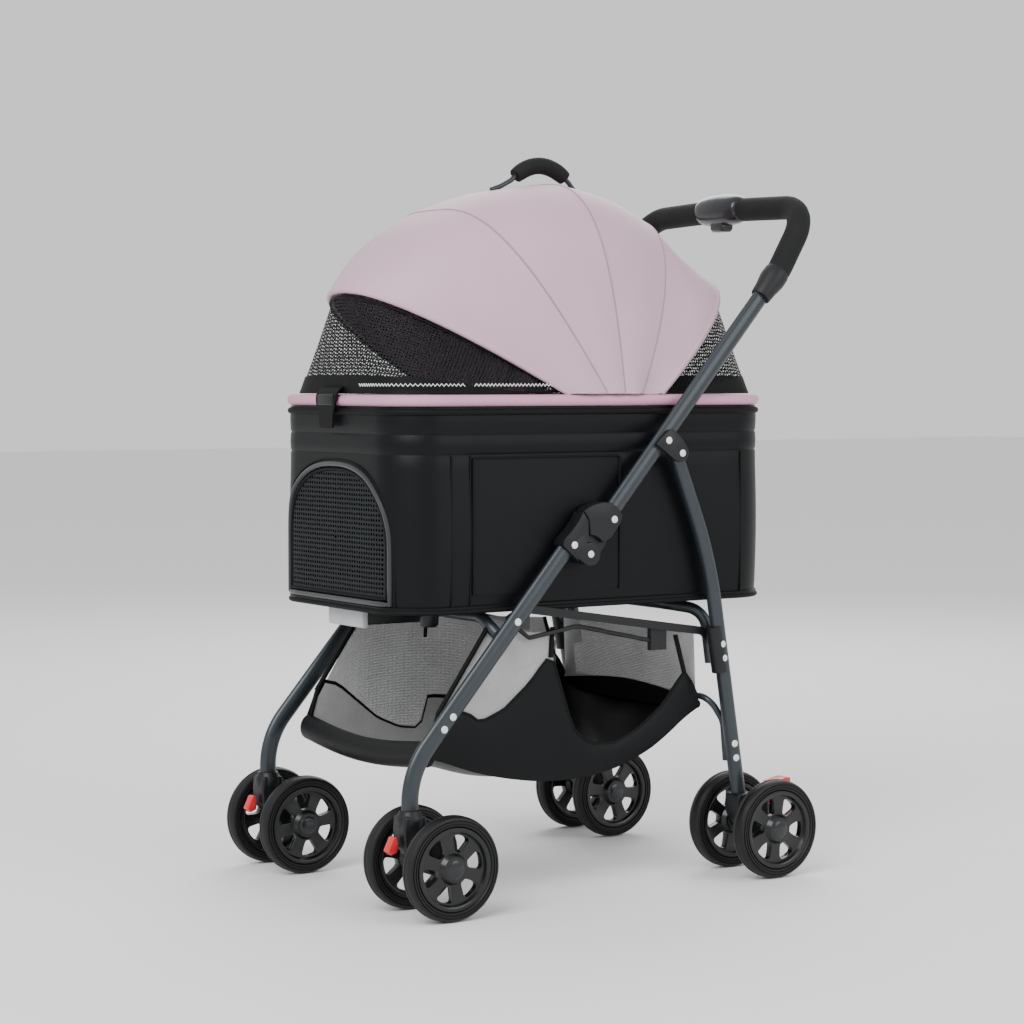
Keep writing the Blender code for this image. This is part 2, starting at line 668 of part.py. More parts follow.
def hood():
    rib("hood_lip_front", frontLipAngle)
    rib("hood_rib_front", frontRibAngle)
    rib("hood_rib_centre", centreRibAngle)
    rib("hood_rib_rear", rearRibAngle)
    rib("hood_lip_rear", rearLipAngle)
    front = [centreRibAngle + 0.2, 110.65, frontRibAngle, 131, 138, 144, 149, frontLipAngle]
    rear = [rearLipAngle, 47.5, 53.4, 59, rearRibAngle, 81.05, centreRibAngle - 0.2]
    for name, angles in (("hood_front_fabric", front), ("hood_rear_fabric", rear)):
        shellFrom(name, "pink", domeRows(angles, 0), domeRows(angles, fabric))
    low, high = rearLipAngle - canopyAhead, frontLipAngle + canopyAhead
    under = [low] + [low + (high - low) * k / 10 for k in range(1, 10)] + [high]
    sheets = []
    for layer in (0, fabric):
        inset = canopyInset + layer
        sheets.append(apronRows(1, rearLipAngle, inset)[::-1]
                      + domeRows(under, inset, shape=(canopyReach, canopyPower))
                      + apronRows(-1, frontLipAngle, inset))
    shellFrom("mesh_canopy", "mesh", *sheets)


def carryHandle():
    """The carry handle over the hood: a thin arched bar with a padded grip round its middle."""
    crown = topZ - 0.0115
    middle = 0.0125
    drop = 9.5
    half = 0.040

    def onArch(s):
        return Vector((0, middle + s, crown - drop * s * s))

    path = [Vector((0, middle - 0.080, 0.9328)), Vector((0, middle - 0.064, 0.9385))]
    path += [onArch(half * 1.2 * k / 6) for k in range(-6, 7)]
    path += [Vector((0, middle + 0.058, 0.9350)), Vector((0, middle + 0.067, 0.9262))]
    bar = sweepTurning(bmesh.new(), path, 0.0035, 8)
    addObject("carry_handle_bar", bar, "steel", (0, middle, crown))
    grip = sweepTurning(bmesh.new(), [onArch(half * k / 5) for k in range(-5, 6)], 0.0115, 12)
    piece = addObject("carry_handle_grip", grip, "foam", (0, middle, crown))
    bore = sweepTurning(bmesh.new(), path, 0.0039, 8)
    boolean(piece, guide("grip_bore", bore))


# ---- storage basket --------------------------------------------------------------------------
def basket():
    """A sling under the carrier: open in front and on top, with side walls and a back."""
    half = 0.157
    sag = [(0.165, 0.235), (0.120, 0.196), (0.060, 0.164), (-0.010, 0.147), (-0.090, 0.146),
           (-0.170, 0.160), (-0.230, 0.179), (-0.268, 0.196)]
    rimLine = [(-0.262, 0.207), (-0.165, 0.330), (0.128, 0.306), (0.160, 0.250)]
    outer = extrudeAcross(bmesh.new(), sag + rimLine, -half, half)
    piece = addObject("storage_basket", outer, "cloth", (0, -0.03, 0.2))
    lift = 0.004
    hollow = [(y - lift, z + lift) for y, z in sag[:-1]] + [(-0.300, 0.200)]
    hollow += [(-0.300, 0.420), (0.161, 0.420)]
    cutter = extrudeAcross(bmesh.new(), hollow, -half + lift, half - lift)
    boolean(piece, guide("basket_hollow", cutter))


for sideName, sideSign in sides:
    rearLeg(sideName, sideSign)
    frontLeg(sideName, sideSign)
    foldJoint(sideName, sideSign)
    legBracket(sideName, sideSign)
    sideLink(sideName, sideSign)
    handleSide(sideName, sideSign)
    caster(sideName, sideSign)
    rearHousing(sideName, sideSign)
    wheelPair("front", sideName, sideSign, frontAxleY)
    wheelPair("rear", sideName, sideSign, rearAxleY)
crossTubes()
console()
carrier()
hood()
carryHandle()
basket()
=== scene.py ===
import math

import bmesh
import bpy
from mathutils import Matrix, Vector


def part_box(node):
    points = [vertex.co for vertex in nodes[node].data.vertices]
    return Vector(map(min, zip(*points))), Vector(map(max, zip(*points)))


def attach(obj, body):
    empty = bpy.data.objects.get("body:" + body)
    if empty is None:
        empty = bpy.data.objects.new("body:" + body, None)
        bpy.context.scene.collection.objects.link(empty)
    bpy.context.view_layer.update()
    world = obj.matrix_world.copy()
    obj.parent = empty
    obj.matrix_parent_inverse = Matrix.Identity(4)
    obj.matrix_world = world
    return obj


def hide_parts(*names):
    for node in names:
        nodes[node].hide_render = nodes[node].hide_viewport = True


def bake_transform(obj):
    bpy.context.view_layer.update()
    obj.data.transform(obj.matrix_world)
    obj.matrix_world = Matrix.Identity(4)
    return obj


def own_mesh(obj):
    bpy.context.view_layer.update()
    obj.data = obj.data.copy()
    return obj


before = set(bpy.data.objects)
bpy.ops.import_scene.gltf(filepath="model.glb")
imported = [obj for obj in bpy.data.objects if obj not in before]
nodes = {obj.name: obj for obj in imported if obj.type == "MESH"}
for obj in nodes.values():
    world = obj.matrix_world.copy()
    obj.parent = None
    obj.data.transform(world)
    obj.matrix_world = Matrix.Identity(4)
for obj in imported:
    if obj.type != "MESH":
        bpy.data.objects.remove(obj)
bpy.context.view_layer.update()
sides = (("left", 1), ("right", -1))
print("frame loaded:", len(nodes), "nodes")


# ways of writing a material's maths as Python
class Signal:
    def __init__(self, look, socket):
        self.look = look
        self.socket = socket

    def mix(self, operation, other, flip=False):
        pair = (other, self) if flip else (self, other)
        return self.look.add("ShaderNodeMath", {"operation": operation}, {0: pair[0], 1: pair[1]})

    def __add__(self, other):
        return self.mix("ADD", other)

    def __radd__(self, other):
        return self.mix("ADD", other, True)

    def __sub__(self, other):
        return self.mix("SUBTRACT", other)

    def __rsub__(self, other):
        return self.mix("SUBTRACT", other, True)

    def __mul__(self, other):
        return self.mix("MULTIPLY", other)

    def __rmul__(self, other):
        return self.mix("MULTIPLY", other, True)

    def __gt__(self, other):
        return self.mix("GREATER_THAN", other)


class Look:
    def __init__(self, name, colour, roughness, metallic=0.0, **constants):
        self.material = bpy.data.materials.new(name)
        self.material.use_nodes = True
        self.tree = self.material.node_tree
        self.shader = self.tree.nodes["Principled BSDF"]
        self.shader.inputs["Base Color"].default_value = (*colour, 1)
        self.shader.inputs["Roughness"].default_value = roughness
        self.shader.inputs["Metallic"].default_value = metallic
        for socket, value in constants.items():
            self.shader.inputs[socket.replace("_", " ")].default_value = value

    def add(self, kind, settings=None, inputs=None, output=0):
        node = self.tree.nodes.new(kind)
        for key, value in (settings or {}).items():
            setattr(node, key, value)
        for key, value in (inputs or {}).items():
            if isinstance(value, Signal):
                self.tree.links.new(value.socket, node.inputs[key])
            else:
                node.inputs[key].default_value = value
        return Signal(self, node.outputs[output])

    def place(self, uv=False):
        return self.add("ShaderNodeTexCoord", output="UV" if uv else "Object")

    def noise(self, scale, detail=3.0):
        return self.add("ShaderNodeTexNoise", None,
                        {"Vector": self.place(), "Scale": scale, "Detail": detail})

    def feed(self, socket, signal):
        self.tree.links.new(signal.socket, self.shader.inputs[socket])

    def shades(self, mask, dark, light):
        tone = self.add("ShaderNodeMix", {"data_type": "RGBA"},
                        {0: mask, 6: (*dark, 1), 7: (*light, 1)}, output=2)
        self.feed("Base Color", tone)

    def bump(self, height, depth, strength=1.0):
        self.feed("Normal", self.add("ShaderNodeBump", None, {
            "Height": height, "Distance": depth, "Strength": strength}))


# height of a plain weave: threads that pass over and under each other
def threads(look, pitch, uv=True):
    where = look.place(uv)
    parts = look.add("ShaderNodeSeparateXYZ", None, {0: where})
    down = Signal(look, parts.socket.node.outputs[1])
    turn = 2 * math.pi / pitch
    first = (parts * turn).mix("SINE", 0)
    second = (down * turn).mix("SINE", 0)
    return first * second * 0.5 + 0.5


def tinted(colour, factor):
    return tuple(min(1.0, c * factor) for c in colour)


def paintedMetal():
    value = {"colour": (0.022, 0.030, 0.036), "roughness": 0.34, "metallic": 0.4}
    look = Look("framePaint", value["colour"], value["roughness"], value["metallic"],
                Coat_Weight=0.25, Coat_Roughness=0.22)
    cloud = look.noise(26.0)
    look.shades(cloud, tinted(value["colour"], 0.82), tinted(value["colour"], 1.2))
    look.feed("Roughness", cloud * 0.16 + 0.30)
    look.bump(look.noise(1400.0, 2.0), 0.00006, 0.5)
    return look


def moulded(name, colour, roughness, grain=0.00008, coat=0.0):
    look = Look(name, colour, roughness, Coat_Weight=coat, Coat_Roughness=0.12,
                Specular_IOR_Level=0.32)
    cloud = look.noise(35.0)
    look.shades(cloud, tinted(colour, 0.85), tinted(colour, 1.15))
    look.feed("Roughness", cloud * 0.14 + (roughness - 0.07))
    look.bump(look.noise(900.0, 3.0), grain, 0.6)
    return look


def cloth(name, colour, roughness, pitch, depth, sheen, uv=True, wrinkle=0.0006):
    look = Look(name, colour, roughness, Sheen_Weight=sheen, Sheen_Roughness=0.45,
                Specular_IOR_Level=0.15 if max(colour) < 0.1 else 0.3)
    weave = threads(look, pitch, uv)
    soft = look.noise(9.0, 4.0)
    look.shades(soft * 0.7 + weave * 0.3, tinted(colour, 0.86), tinted(colour, 1.12))
    look.feed("Roughness", soft * 0.12 + (roughness - 0.06))
    look.bump(weave * depth + soft * wrinkle, 1.0, 0.7)
    return look


def netting(name, colour, pitch, hole, roughness=0.7):
    look = Look(name, colour, roughness, Specular_IOR_Level=0.2)
    cell = look.add("ShaderNodeTexVoronoi", {"voronoi_dimensions": "2D"},
                    {"Vector": look.place(True), "Scale": 1 / pitch, "Randomness": 0.12})
    look.feed("Alpha", cell > hole)
    look.bump(cell * 0.0004, 1.0, 0.5)
    look.shades(look.noise(20.0), tinted(colour, 0.8), tinted(colour, 1.25))
    return look


looks = {
    "metal": paintedMetal(),
    "plastic": moulded("blackMoulding", (0.006, 0.007, 0.008), 0.42),
    "gloss": moulded("consoleGloss", (0.009, 0.010, 0.013), 0.26, 0.00002, 0.3),
    "red": moulded("leverRed", (0.62, 0.025, 0.03), 0.35, 0.00004, 0.3),
    "tyre": moulded("tyreRubber", (0.005, 0.005, 0.006), 0.50, 0.00012),
    "hub": moulded("hubMoulding", (0.005, 0.0055, 0.006), 0.28, 0.00003, 0.2),
    "foam": moulded("gripFoam", (0.005, 0.0055, 0.006), 0.80, 0.00035),
    "rubber": moulded("collarRubber", (0.008, 0.009, 0.010), 0.50),
    "grey": moulded("catchGrey", (0.42, 0.44, 0.45), 0.45),
    "nylon": cloth("blackNylon", (0.0030, 0.0034, 0.0042), 0.40, 0.0016, 0.00010, 0.0),
    "binding": cloth("blackBinding", (0.0030, 0.0033, 0.0038), 0.60, 0.0022, 0.0002, 0.0, False),
    # the piping's grey colour is a painted highlight along the door's rolled edge
    "piping": cloth("pipingPaintedHighlight", (0.035, 0.038, 0.042), 0.35, 0.002, 0.0001, 0.2, False),
    "satin": cloth("pinkSatin", (0.54, 0.365, 0.445), 0.50, 0.0012, 0.00006, 0.04),
    "seam": cloth("pinkSeam", (0.36, 0.225, 0.29), 0.62, 0.0018, 0.0002, 0.0, False),
    "rim": cloth("pinkRim", (0.56, 0.29, 0.41), 0.45, 0.0018, 0.0001, 0.0, False),
    "mesh": netting("blackMesh", (0.006, 0.007, 0.008), 0.0046, 0.34),
    "doorMesh": netting("doorMesh", (0.012, 0.014, 0.016), 0.0062, 0.30),
    "paleMesh": netting("paleMesh", (0.36, 0.36, 0.365), 0.0022, 0.12, 0.8),
    "zip": moulded("zipWhite", (0.80, 0.80, 0.80), 0.5),
    "steel": Look("steelBright", (0.66, 0.67, 0.69), 0.26, 1.0),
    "aluminium": moulded("rivetSilver", (0.78, 0.79, 0.80), 0.3),
}
looks["steel"].feed("Roughness", looks["steel"].noise(60.0) * 0.2 + 0.16)
print("materials:", len(looks))


def clearSelection():
    if bpy.context.object and bpy.context.object.mode != "OBJECT":
        bpy.ops.object.mode_set(mode="OBJECT")
    bpy.ops.object.select_all(action="DESELECT")


# makes a piece the active, and the only selected, object
def make(piece):
    clearSelection()
    piece.select_set(True)
    bpy.context.view_layer.objects.active = piece


# runs mesh operators, each on the whole piece, in edit mode
def reshape(piece, *steps):
    make(piece)
    bpy.ops.object.mode_set(mode="EDIT")
    for operator, settings in steps:
        bpy.ops.mesh.select_all(action="SELECT")
        operator(**settings)
    bpy.ops.object.mode_set(mode="OBJECT")


outward = (bpy.ops.mesh.normals_make_consistent, {"inside": False})


def applyModifiers(piece):
    make(piece)
    for modifier in list(piece.modifiers):
        bpy.ops.object.modifier_apply(modifier=modifier.name)


# adds one modifier to a piece and applies it
def modify(piece, kind, **settings):
    modifier = piece.modifiers.new(kind.lower(), kind)
    for key, value in settings.items():
        setattr(modifier, key, value)
    applyModifiers(piece)


def soften(piece, width, segments=3, angle=35):
    modify(piece, "BEVEL", width=width, segments=segments, limit_method="ANGLE",
           angle_limit=math.radians(angle), harden_normals=False)


def cutAway(piece, cutter):
    modify(piece, "BOOLEAN", operation="DIFFERENCE", solver="EXACT", object=cutter)
    bpy.data.objects.remove(cutter)


def smoothOnce(piece):
    modify(piece, "SUBSURF", levels=1, render_levels=1)


# the last steps of every piece: normals, shading, material, and the body that it rides on
def finishPiece(piece, look, body, replaces=(), angle=40, turnOut=True):
    make(piece)
    bpy.ops.object.transform_apply(location=True, rotation=True, scale=True)
    if turnOut:
        reshape(piece, outward)
    bpy.ops.object.shade_smooth_by_angle(angle=math.radians(angle))
    piece.data.materials.clear()
    piece.data.materials.append(looks[look].material)
    if replaces:
        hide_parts(*replaces)
    if body:
        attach(piece, body)
    return piece


# points along a tube bent at its corners, each bend an arc of the given radius
def bentPath(corners, radii, steps=10):
    corners = [Vector(c) for c in corners]
    points = [corners[0]]
    for i in range(1, len(corners) - 1):
        here = corners[i]
        back = (corners[i - 1] - here).normalized()
        onward = (corners[i + 1] - here).normalized()
        half = back.angle(onward) / 2
        reach = radii[i - 1] / math.tan(half)
        centre = here + (back + onward).normalized() * (radii[i - 1] / math.sin(half))
        first = here + back * reach - centre
        last = here + onward * reach - centre
        for k in range(steps + 1):
            points.append(centre + first.slerp(last, k / steps) * radii[i - 1])
    points.append(corners[-1])
    return points


# a round tube along a path, swept as a bevelled curve and turned into a mesh
def tube(name, points, radius, radii=None, closed=False, around=24):
    clearSelection()
    curve = bpy.data.curves.new(name, "CURVE")
    curve.dimensions = "3D"
    curve.bevel_depth = radius
    curve.bevel_resolution = around // 4
    curve.use_fill_caps = not closed
    line = curve.splines.new("POLY")
    line.points.add(len(points) - 1)
    for k, point in enumerate(points):
        line.points[k].co = (*point, 1)
        line.points[k].radius = radii[k] if radii else 1.0
    line.use_cyclic_u = closed
    piece = bpy.data.objects.new(name, curve)
    bpy.context.collection.objects.link(piece)
    make(piece)
    bpy.ops.object.convert(target="MESH")
    piece = bpy.context.object
    reshape(piece, (bpy.ops.mesh.remove_doubles, {"threshold": 0.00001}))
    return piece


# scales a piece about a point
def flatten(piece, centre, factors):
    centre = Vector(centre)
    scale = Matrix.Diagonal((*factors, 1))
    piece.data.transform(Matrix.Translation(centre) @ scale @ Matrix.Translation(-centre))
    return piece


# a loop of points, the start of a plate or of a turned piece
def outlined(name, points):
    clearSelection()
    bpy.ops.mesh.primitive_circle_add(vertices=len(points), radius=1)
    piece = bpy.context.object
    piece.name = name
    for vertex, point in zip(piece.data.vertices, points):
        vertex.co = point
    return piece


# a plate cut to a (Y, Z) outline, given its thickness along X and soft edges
def plate(name, outline, low, high, bevel=0.0015, segments=3):
    piece = outlined(name, [(low, y, z) for y, z in outline])
    thicken = {"TRANSFORM_OT_translate": {"value": (high - low, 0, 0)}}
    reshape(piece, (bpy.ops.mesh.edge_face_add, {}),
            (bpy.ops.mesh.extrude_region_move, thicken), outward)
    if bevel:
        soften(piece, bevel, segments, 25)
    return piece


# a turned piece about the X axis, from (distance along X, radius) points
def lathe(name, profile, steps=48):
    piece = outlined(name, [(x, 0, r) for x, r in profile])
    around = {"steps": steps, "angle": 2 * math.pi, "center": (0, 0, 0), "axis": (1, 0, 0)}
    reshape(piece, (bpy.ops.mesh.spin, around),
            (bpy.ops.mesh.remove_doubles, {"threshold": 0.00002}), outward)
    return piece


upward = Matrix.Rotation(-math.pi / 2, 4, "Y")  # turns a lathed piece's axis to stand up
lying = Matrix(((0, 1, 0, 0), (0, 0, 1, 0), (1, 0, 0, 0), (0, 0, 0, 1)))  # lays a plate down


def copied(piece, name, matrix):
    twin = piece.copy()
    twin.data = piece.data.copy()
    twin.name = name
    bpy.context.collection.objects.link(twin)
    twin.data.transform(matrix)
    if matrix.determinant() < 0:
        twin.data.flip_normals()
    return twin


def joined(pieces, name):
    clearSelection()
    for piece in pieces:
        piece.select_set(True)
    bpy.context.view_layer.objects.active = pieces[0]
    bpy.ops.object.join()
    pieces[0].name = name
    return pieces[0]


# a sheet of cloth through rows of points, with its length and width as its UV map
def gridSheet(name, rows, thickness=0.0, levels=0, closed=False):
    clearSelection()
    bm = bmesh.new()
    layer = bm.loops.layers.uv.new("cloth")
    points = [[bm.verts.new(p) for p in row] for row in rows]
    count = len(rows[0])
    down = [0.0]
    for one, two in zip(rows, rows[1:]):
        middle = count // 2
        down.append(down[-1] + (Vector(two[middle]) - Vector(one[middle])).length)
    acrossAll = []
    for row in rows:
        run = [0.0]
        for one, two in zip(row, row[1:]):
            run.append(run[-1] + (Vector(two) - Vector(one)).length)
        acrossAll.append([value - run[-1] / 2 for value in run])
    for r in range(len(rows) - 1):
        for k in range(count - 1):
            face = bm.faces.new((points[r][k], points[r][k + 1],
                                 points[r + 1][k + 1], points[r + 1][k]))
            spots = ((r, k), (r, k + 1), (r + 1, k + 1), (r + 1, k))
            for loop, (a, b) in zip(face.loops, spots):
                loop[layer].uv = (acrossAll[a][b], down[a])
            face.smooth = True
    if closed:
        bmesh.ops.remove_doubles(bm, verts=bm.verts, dist=0.0001)
    mesh = bpy.data.meshes.new(name)
    bm.to_mesh(mesh)
    bm.free()
    piece = bpy.data.objects.new(name, mesh)
    bpy.context.collection.objects.link(piece)
    columns = [sum((Vector(two[k]) - Vector(one[k])).length for one, two in zip(rows, rows[1:]))
               for k in range(0, count, max(1, count // 12))]
    piece["flatWide"] = max(-2 * run[0] for run in acrossAll)
    piece["flatLong"] = max(columns)
    piece["flatArea"] = sum(p.area for p in mesh.polygons)
    if levels:
        modify(piece, "SUBSURF", levels=levels, render_levels=levels)
    if thickness:
        modify(piece, "SOLIDIFY", thickness=thickness, offset=-1)
    return piece


# prints the size of the cut that a sheet is sewn from: its longest row, longest column and area
def declareSheet(piece):
    flat = (piece["flatWide"], piece["flatLong"])
    area = min(piece["flatArea"], flat[0] * flat[1])
    print(f"sheet {piece.name}: {flat[0]:.3f} x {flat[1]:.3f}, area {area:.4f}")


# a sheet of cloth from its first rows to its last step
def addSheet(name, rows, thickness, look, body, replaces=(), angle=60,
             levels=0):
    piece = gridSheet(name, rows, thickness, levels)
    declareSheet(piece)
    return finishPiece(piece, look, body, replaces, angle, False)


# a tube or a cord from its path to its last step
def addTube(name, path, radius, around, look, body, replaces=(), closed=False):
    piece = tube(name, path, radius, closed=closed, around=around)
    return finishPiece(piece, look, body, replaces)


# the side frame's own measures: the line of the tubes, and the pivots on it
sideFrame = {"linkPivot": Vector((-0.1535, 0.3654)), "foldPivot": Vector((-0.0422, 0.4487)),
             "bracketPivot": Vector((0.1042, 0.5782)), "rearLinkPivot": Vector((0.1786, 0.3182)),
             "slope": math.radians(49), "tubeOffset": 0.024, "legX": 0.190, "rearLegX": 0.1875,
             "legWide": 0.014, "legDeep": 0.024, "swivelY": -0.3115}
alongTube = Vector((math.cos(sideFrame["slope"]), math.sin(sideFrame["slope"])))
acrossTube = Vector((math.sin(sideFrame["slope"]), -math.cos(sideFrame["slope"])))


def onFrame(along, across):
    return sideFrame["linkPivot"] + alongTube * along + acrossTube * across


def inSpace(x, point):
    return Vector((x, point[0], point[1]))


def arcPoints(centre, radius, start, end, steps):
    angles = [math.radians(start + (end - start) * k / steps) for k in range(steps + 1)]
    return [(centre[0] + radius * math.cos(a), centre[1] + radius * math.sin(a)) for a in angles]


wheelSize = {"radius": 0.067, "half": 0.0115, "web": 0.0065, "openings": 6}


# one tyre and one spoked hub about the X axis, copied for all eight wheels
def modelWheel():
    radius, half = wheelSize["radius"], wheelSize["half"]
    side = [(half * 0.80, 0.0535), (half * 0.98, 0.0550), (half * 0.99, 0.0565),
            (half * 0.88, 0.0570), (half * 0.88, 0.0578), (half * 1.0, 0.0583),
            (half * 0.99, 0.0600), (half * 0.86, 0.0605), (half * 0.86, 0.0613),
            (half * 0.95, 0.0620), (half * 0.86, 0.0645), (half * 0.60, 0.0662),
            (half * 0.30, 0.0669), (half * 0.22, 0.0660), (half * 0.10, 0.0660)]
    profile = side + [(-x, r) for x, r in reversed(side)]
    profile += [(-half * 0.5, 0.0515), (half * 0.5, 0.0515)]
    profile = [(x, min(r, radius)) for x, r in profile]
    tyre = lathe("tyreModel", profile, 72)
    web = wheelSize["web"]
    rim = [(half * 0.82, 0.0470), (half * 0.90, 0.0490), (half * 0.90, 0.0525),
           (half * 0.6, 0.0535), (-half * 0.6, 0.0535), (-half * 0.90, 0.0525),
           (-half * 0.90, 0.0490), (-half * 0.82, 0.0470), (-web * 0.72, 0.0452),
           (-web * 0.80, 0.0200), (-half, 0.0165), (-half, 0.0045),
           (half, 0.0045), (half, 0.0165), (web * 0.80, 0.0200), (web * 0.72, 0.0452)]
    hub = lathe("hubModel", rim, 72)
    cutters = []
    for k in range(wheelSize["openings"]):
        middle = math.radians(30 + 360 / wheelSize["openings"] * k)
        outline = []
        for j in range(36):
            t = 2 * math.pi * j / 36
            lift = math.copysign(abs(math.sin(t)) ** 0.5, math.sin(t))
            swing = math.copysign(abs(math.cos(t)) ** 0.5, math.cos(t))
            reach = 0.0325 + 0.0108 * lift
            turn = middle + math.radians(16.0 + 3.0 * lift) * swing
            outline.append((reach * math.cos(turn), reach * math.sin(turn)))
        cutters.append(plate(f"opening{k}", outline, -0.03, 0.03, 0.0))
    cutAway(hub, joined(cutters, "openings"))
    soften(hub, 0.0007, 2, 30)
    cap = lathe("capModel", [(-0.0128, 0.0), (-0.0128, 0.0100), (-0.0112, 0.0132), (0.0112, 0.0132),
                             (0.0128, 0.0100), (0.0128, 0.0), (0.0105, 0.0), (-0.0105, 0.0)], 40)
    soften(cap, 0.0010, 2)
    return tyre, hub, cap


def addWheels():
    tyre, hub, cap = modelWheel()
    models = (("tyre", tyre, "tyre", True), ("hub", hub, "hub", True), ("cap", cap, "gloss", False))
    for end in ("front", "rear"):
        for side, sign in sides:
            for place in ("outer", "inner"):
                node = f"wheel_{end}_{side}_{place}"
                low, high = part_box(node)
                centre = (low + high) / 2
                turn = Matrix.Rotation(math.radians(17 * (len(end) + sign)), 4, "X")
                move = Matrix.Translation(centre) @ turn
                for kind, model, look, stands in models:
                    piece = copied(model, f"{kind}_{end}_{side}_{place}", move)
                    finishPiece(piece, look, node, (node,) if stands else (),
                                30, False)
    for piece in (tyre, hub, cap):
        bpy.data.objects.remove(piece)


# swivel housings, their red locks, rear feet and red brake pedals
def addCasters():
    y0 = sideFrame["swivelY"]
    for side, sign in sides:
        x = sign * sideFrame["legX"]
        front, rear, height = -0.281, 0.237, 0.067
        outline = [(y0 - 0.015, 0.131), (y0 - 0.017, 0.112), (y0 - 0.015, 0.092)]
        outline += arcPoints((front, height), 0.015, 225, 372, 9)
        outline += [(front + 0.008, 0.092), (y0 + 0.022, 0.108), (y0 + 0.016, 0.122),
                    (y0 + 0.015, 0.131)]
        fork = plate(f"caster_housing_{side}", outline, x - 0.0155, x + 0.0155, 0.0035, 4)
        collar = lathe(f"casterCollar{side}", [(0.0, 0.0), (0.0, 0.0165), (0.004, 0.0178),
                                               (0.012, 0.0178), (0.016, 0.0150), (0.020, 0.0135),
                                               (0.020, 0.0)], 40)
        collar.data.transform(Matrix.Translation((x, y0, 0.116)) @ upward)
        fork = joined([fork, collar], f"caster_housing_{side}")
        finishPiece(fork, "plastic", f"caster_{side}", (f"caster_{side}",))
        hinge = (y0 - 0.0245, 0.101)
        outline = arcPoints(hinge, 0.0045, 60, 180, 5)
        outline += [(hinge[0] - 0.011, 0.088), (hinge[0] - 0.006, 0.0825),
                    (hinge[0] + 0.003, 0.086), (hinge[0] + 0.0045, 0.097)]
        lock = plate(f"swivel_lever_{side}", outline, x - 0.0065, x + 0.0065, 0.0014)
        finishPiece(lock, "red", f"swivel_lock_{side}", (f"swivel_lock_{side}",))
        legY = 0.2152
        outline = [(legY - 0.014, 0.112), (legY - 0.016, 0.095), (legY - 0.012, 0.080)]
        outline += arcPoints((rear, height), 0.0155, 215, 345, 9)
        outline += [(rear + 0.0175, 0.082), (rear + 0.0165, 0.104), (legY + 0.014, 0.112)]
        foot = plate(f"rear_foot_{side}", outline, x - 0.0158, x + 0.0158, 0.0035, 4)
        finishPiece(foot, "plastic", "rear_frame", (f"rear_housing_{side}",))
        hinge = (rear + 0.022, 0.098)
        outline = arcPoints(hinge, 0.005, 150, 300, 5)
        treadle = ((0.012, 0.109), (0.030, 0.1165), (0.0365, 0.121), (0.0365, 0.127),
                   (0.028, 0.1275), (0.006, 0.123), (-0.002, 0.110))
        outline += [(hinge[0] + back, z) for back, z in treadle]
        pedal = plate(f"brake_lever_{side}", outline, x - 0.011, x + 0.011, 0.002)
        finishPiece(pedal, "red", f"brake_pedal_{side}", (f"brake_pedal_{side}",))


addWheels()
addCasters()
print("wheels and casters done")


def modelRivet():
    return lathe("rivetModel", [(0.0, 0.0), (0.0, 0.0048), (0.0006, 0.0048), (0.0016, 0.0040),
                                (0.0021, 0.0026), (0.0021, 0.0017), (0.0012, 0.0013),
                                (0.0010, 0.0)], 24)


# domed rivet heads, in one piece for each body and side
def addRivets():
    model = modelRivet()
    x = sideFrame["legX"]
    places = {
        "front_frame": [(x + 0.007, -0.2515, 0.250), (x + 0.007, -0.2645, 0.235),
                        (x + 0.007, *sideFrame["linkPivot"]), (x + 0.011, -0.0680, 0.4615),
                        (x + 0.011, *sideFrame["foldPivot"])],
        "handle": [(x + 0.011, -0.0045, 0.4930), (0.2045, 0.0816, 0.5955),
                   (0.2045, *sideFrame["bracketPivot"])],
        "rear_frame": [(0.1970, *sideFrame["rearLinkPivot"]), (0.1970, 0.1815, 0.2990),
                       (0.1970, 0.2001, 0.1809), (0.1970, 0.2028, 0.1612)],
    }
    for body, spots in places.items():
        for side, sign in sides:
            heads = []
            for k, (out, y, z) in enumerate(spots):
                mirror = Matrix.Diagonal((sign, 1, 1, 1))
                move = mirror @ Matrix.Translation((out - 0.0001, y, z))
                heads.append(copied(model, f"head{k}", move))
            piece = joined(heads, f"rivets_{body}_{side}")
            finishPiece(piece, "aluminium", body, (), 50)
    bpy.data.objects.remove(model)


# each tube that runs across the frame: body, node, radius, bend radii, and its left half
crossTubes = {
    "front_cross_tube": ("front_frame", "front_support_tube", 0.008, (0.010, 0.02), 24,
                         ((0.1821, -0.166, 0.346), (0.170, -0.166, 0.346),
                          (0.145, -0.176, 0.3695))),
    "rear_cross_tube": ("rear_frame", "rear_support_tube", 0.008, (0.03, 0.04), 24,
                        ((0.160, 0.1865, 0.290), (0.160, 0.176, 0.362), (0.118, 0.140, 0.3695))),
    "basket_bar": ("rear_frame", "basket_rear_bar", 0.0045, (0.03, 0.02), 16,
                   ((0.1715, 0.2048, 0.155), (0.1715, 0.1995, 0.2095), (0.1715, 0.176, 0.243))),
}
rearLeg = {"knee": (0.1616, 0.4362), "foot": (0.2147, 0.107), "radius": 0.010}


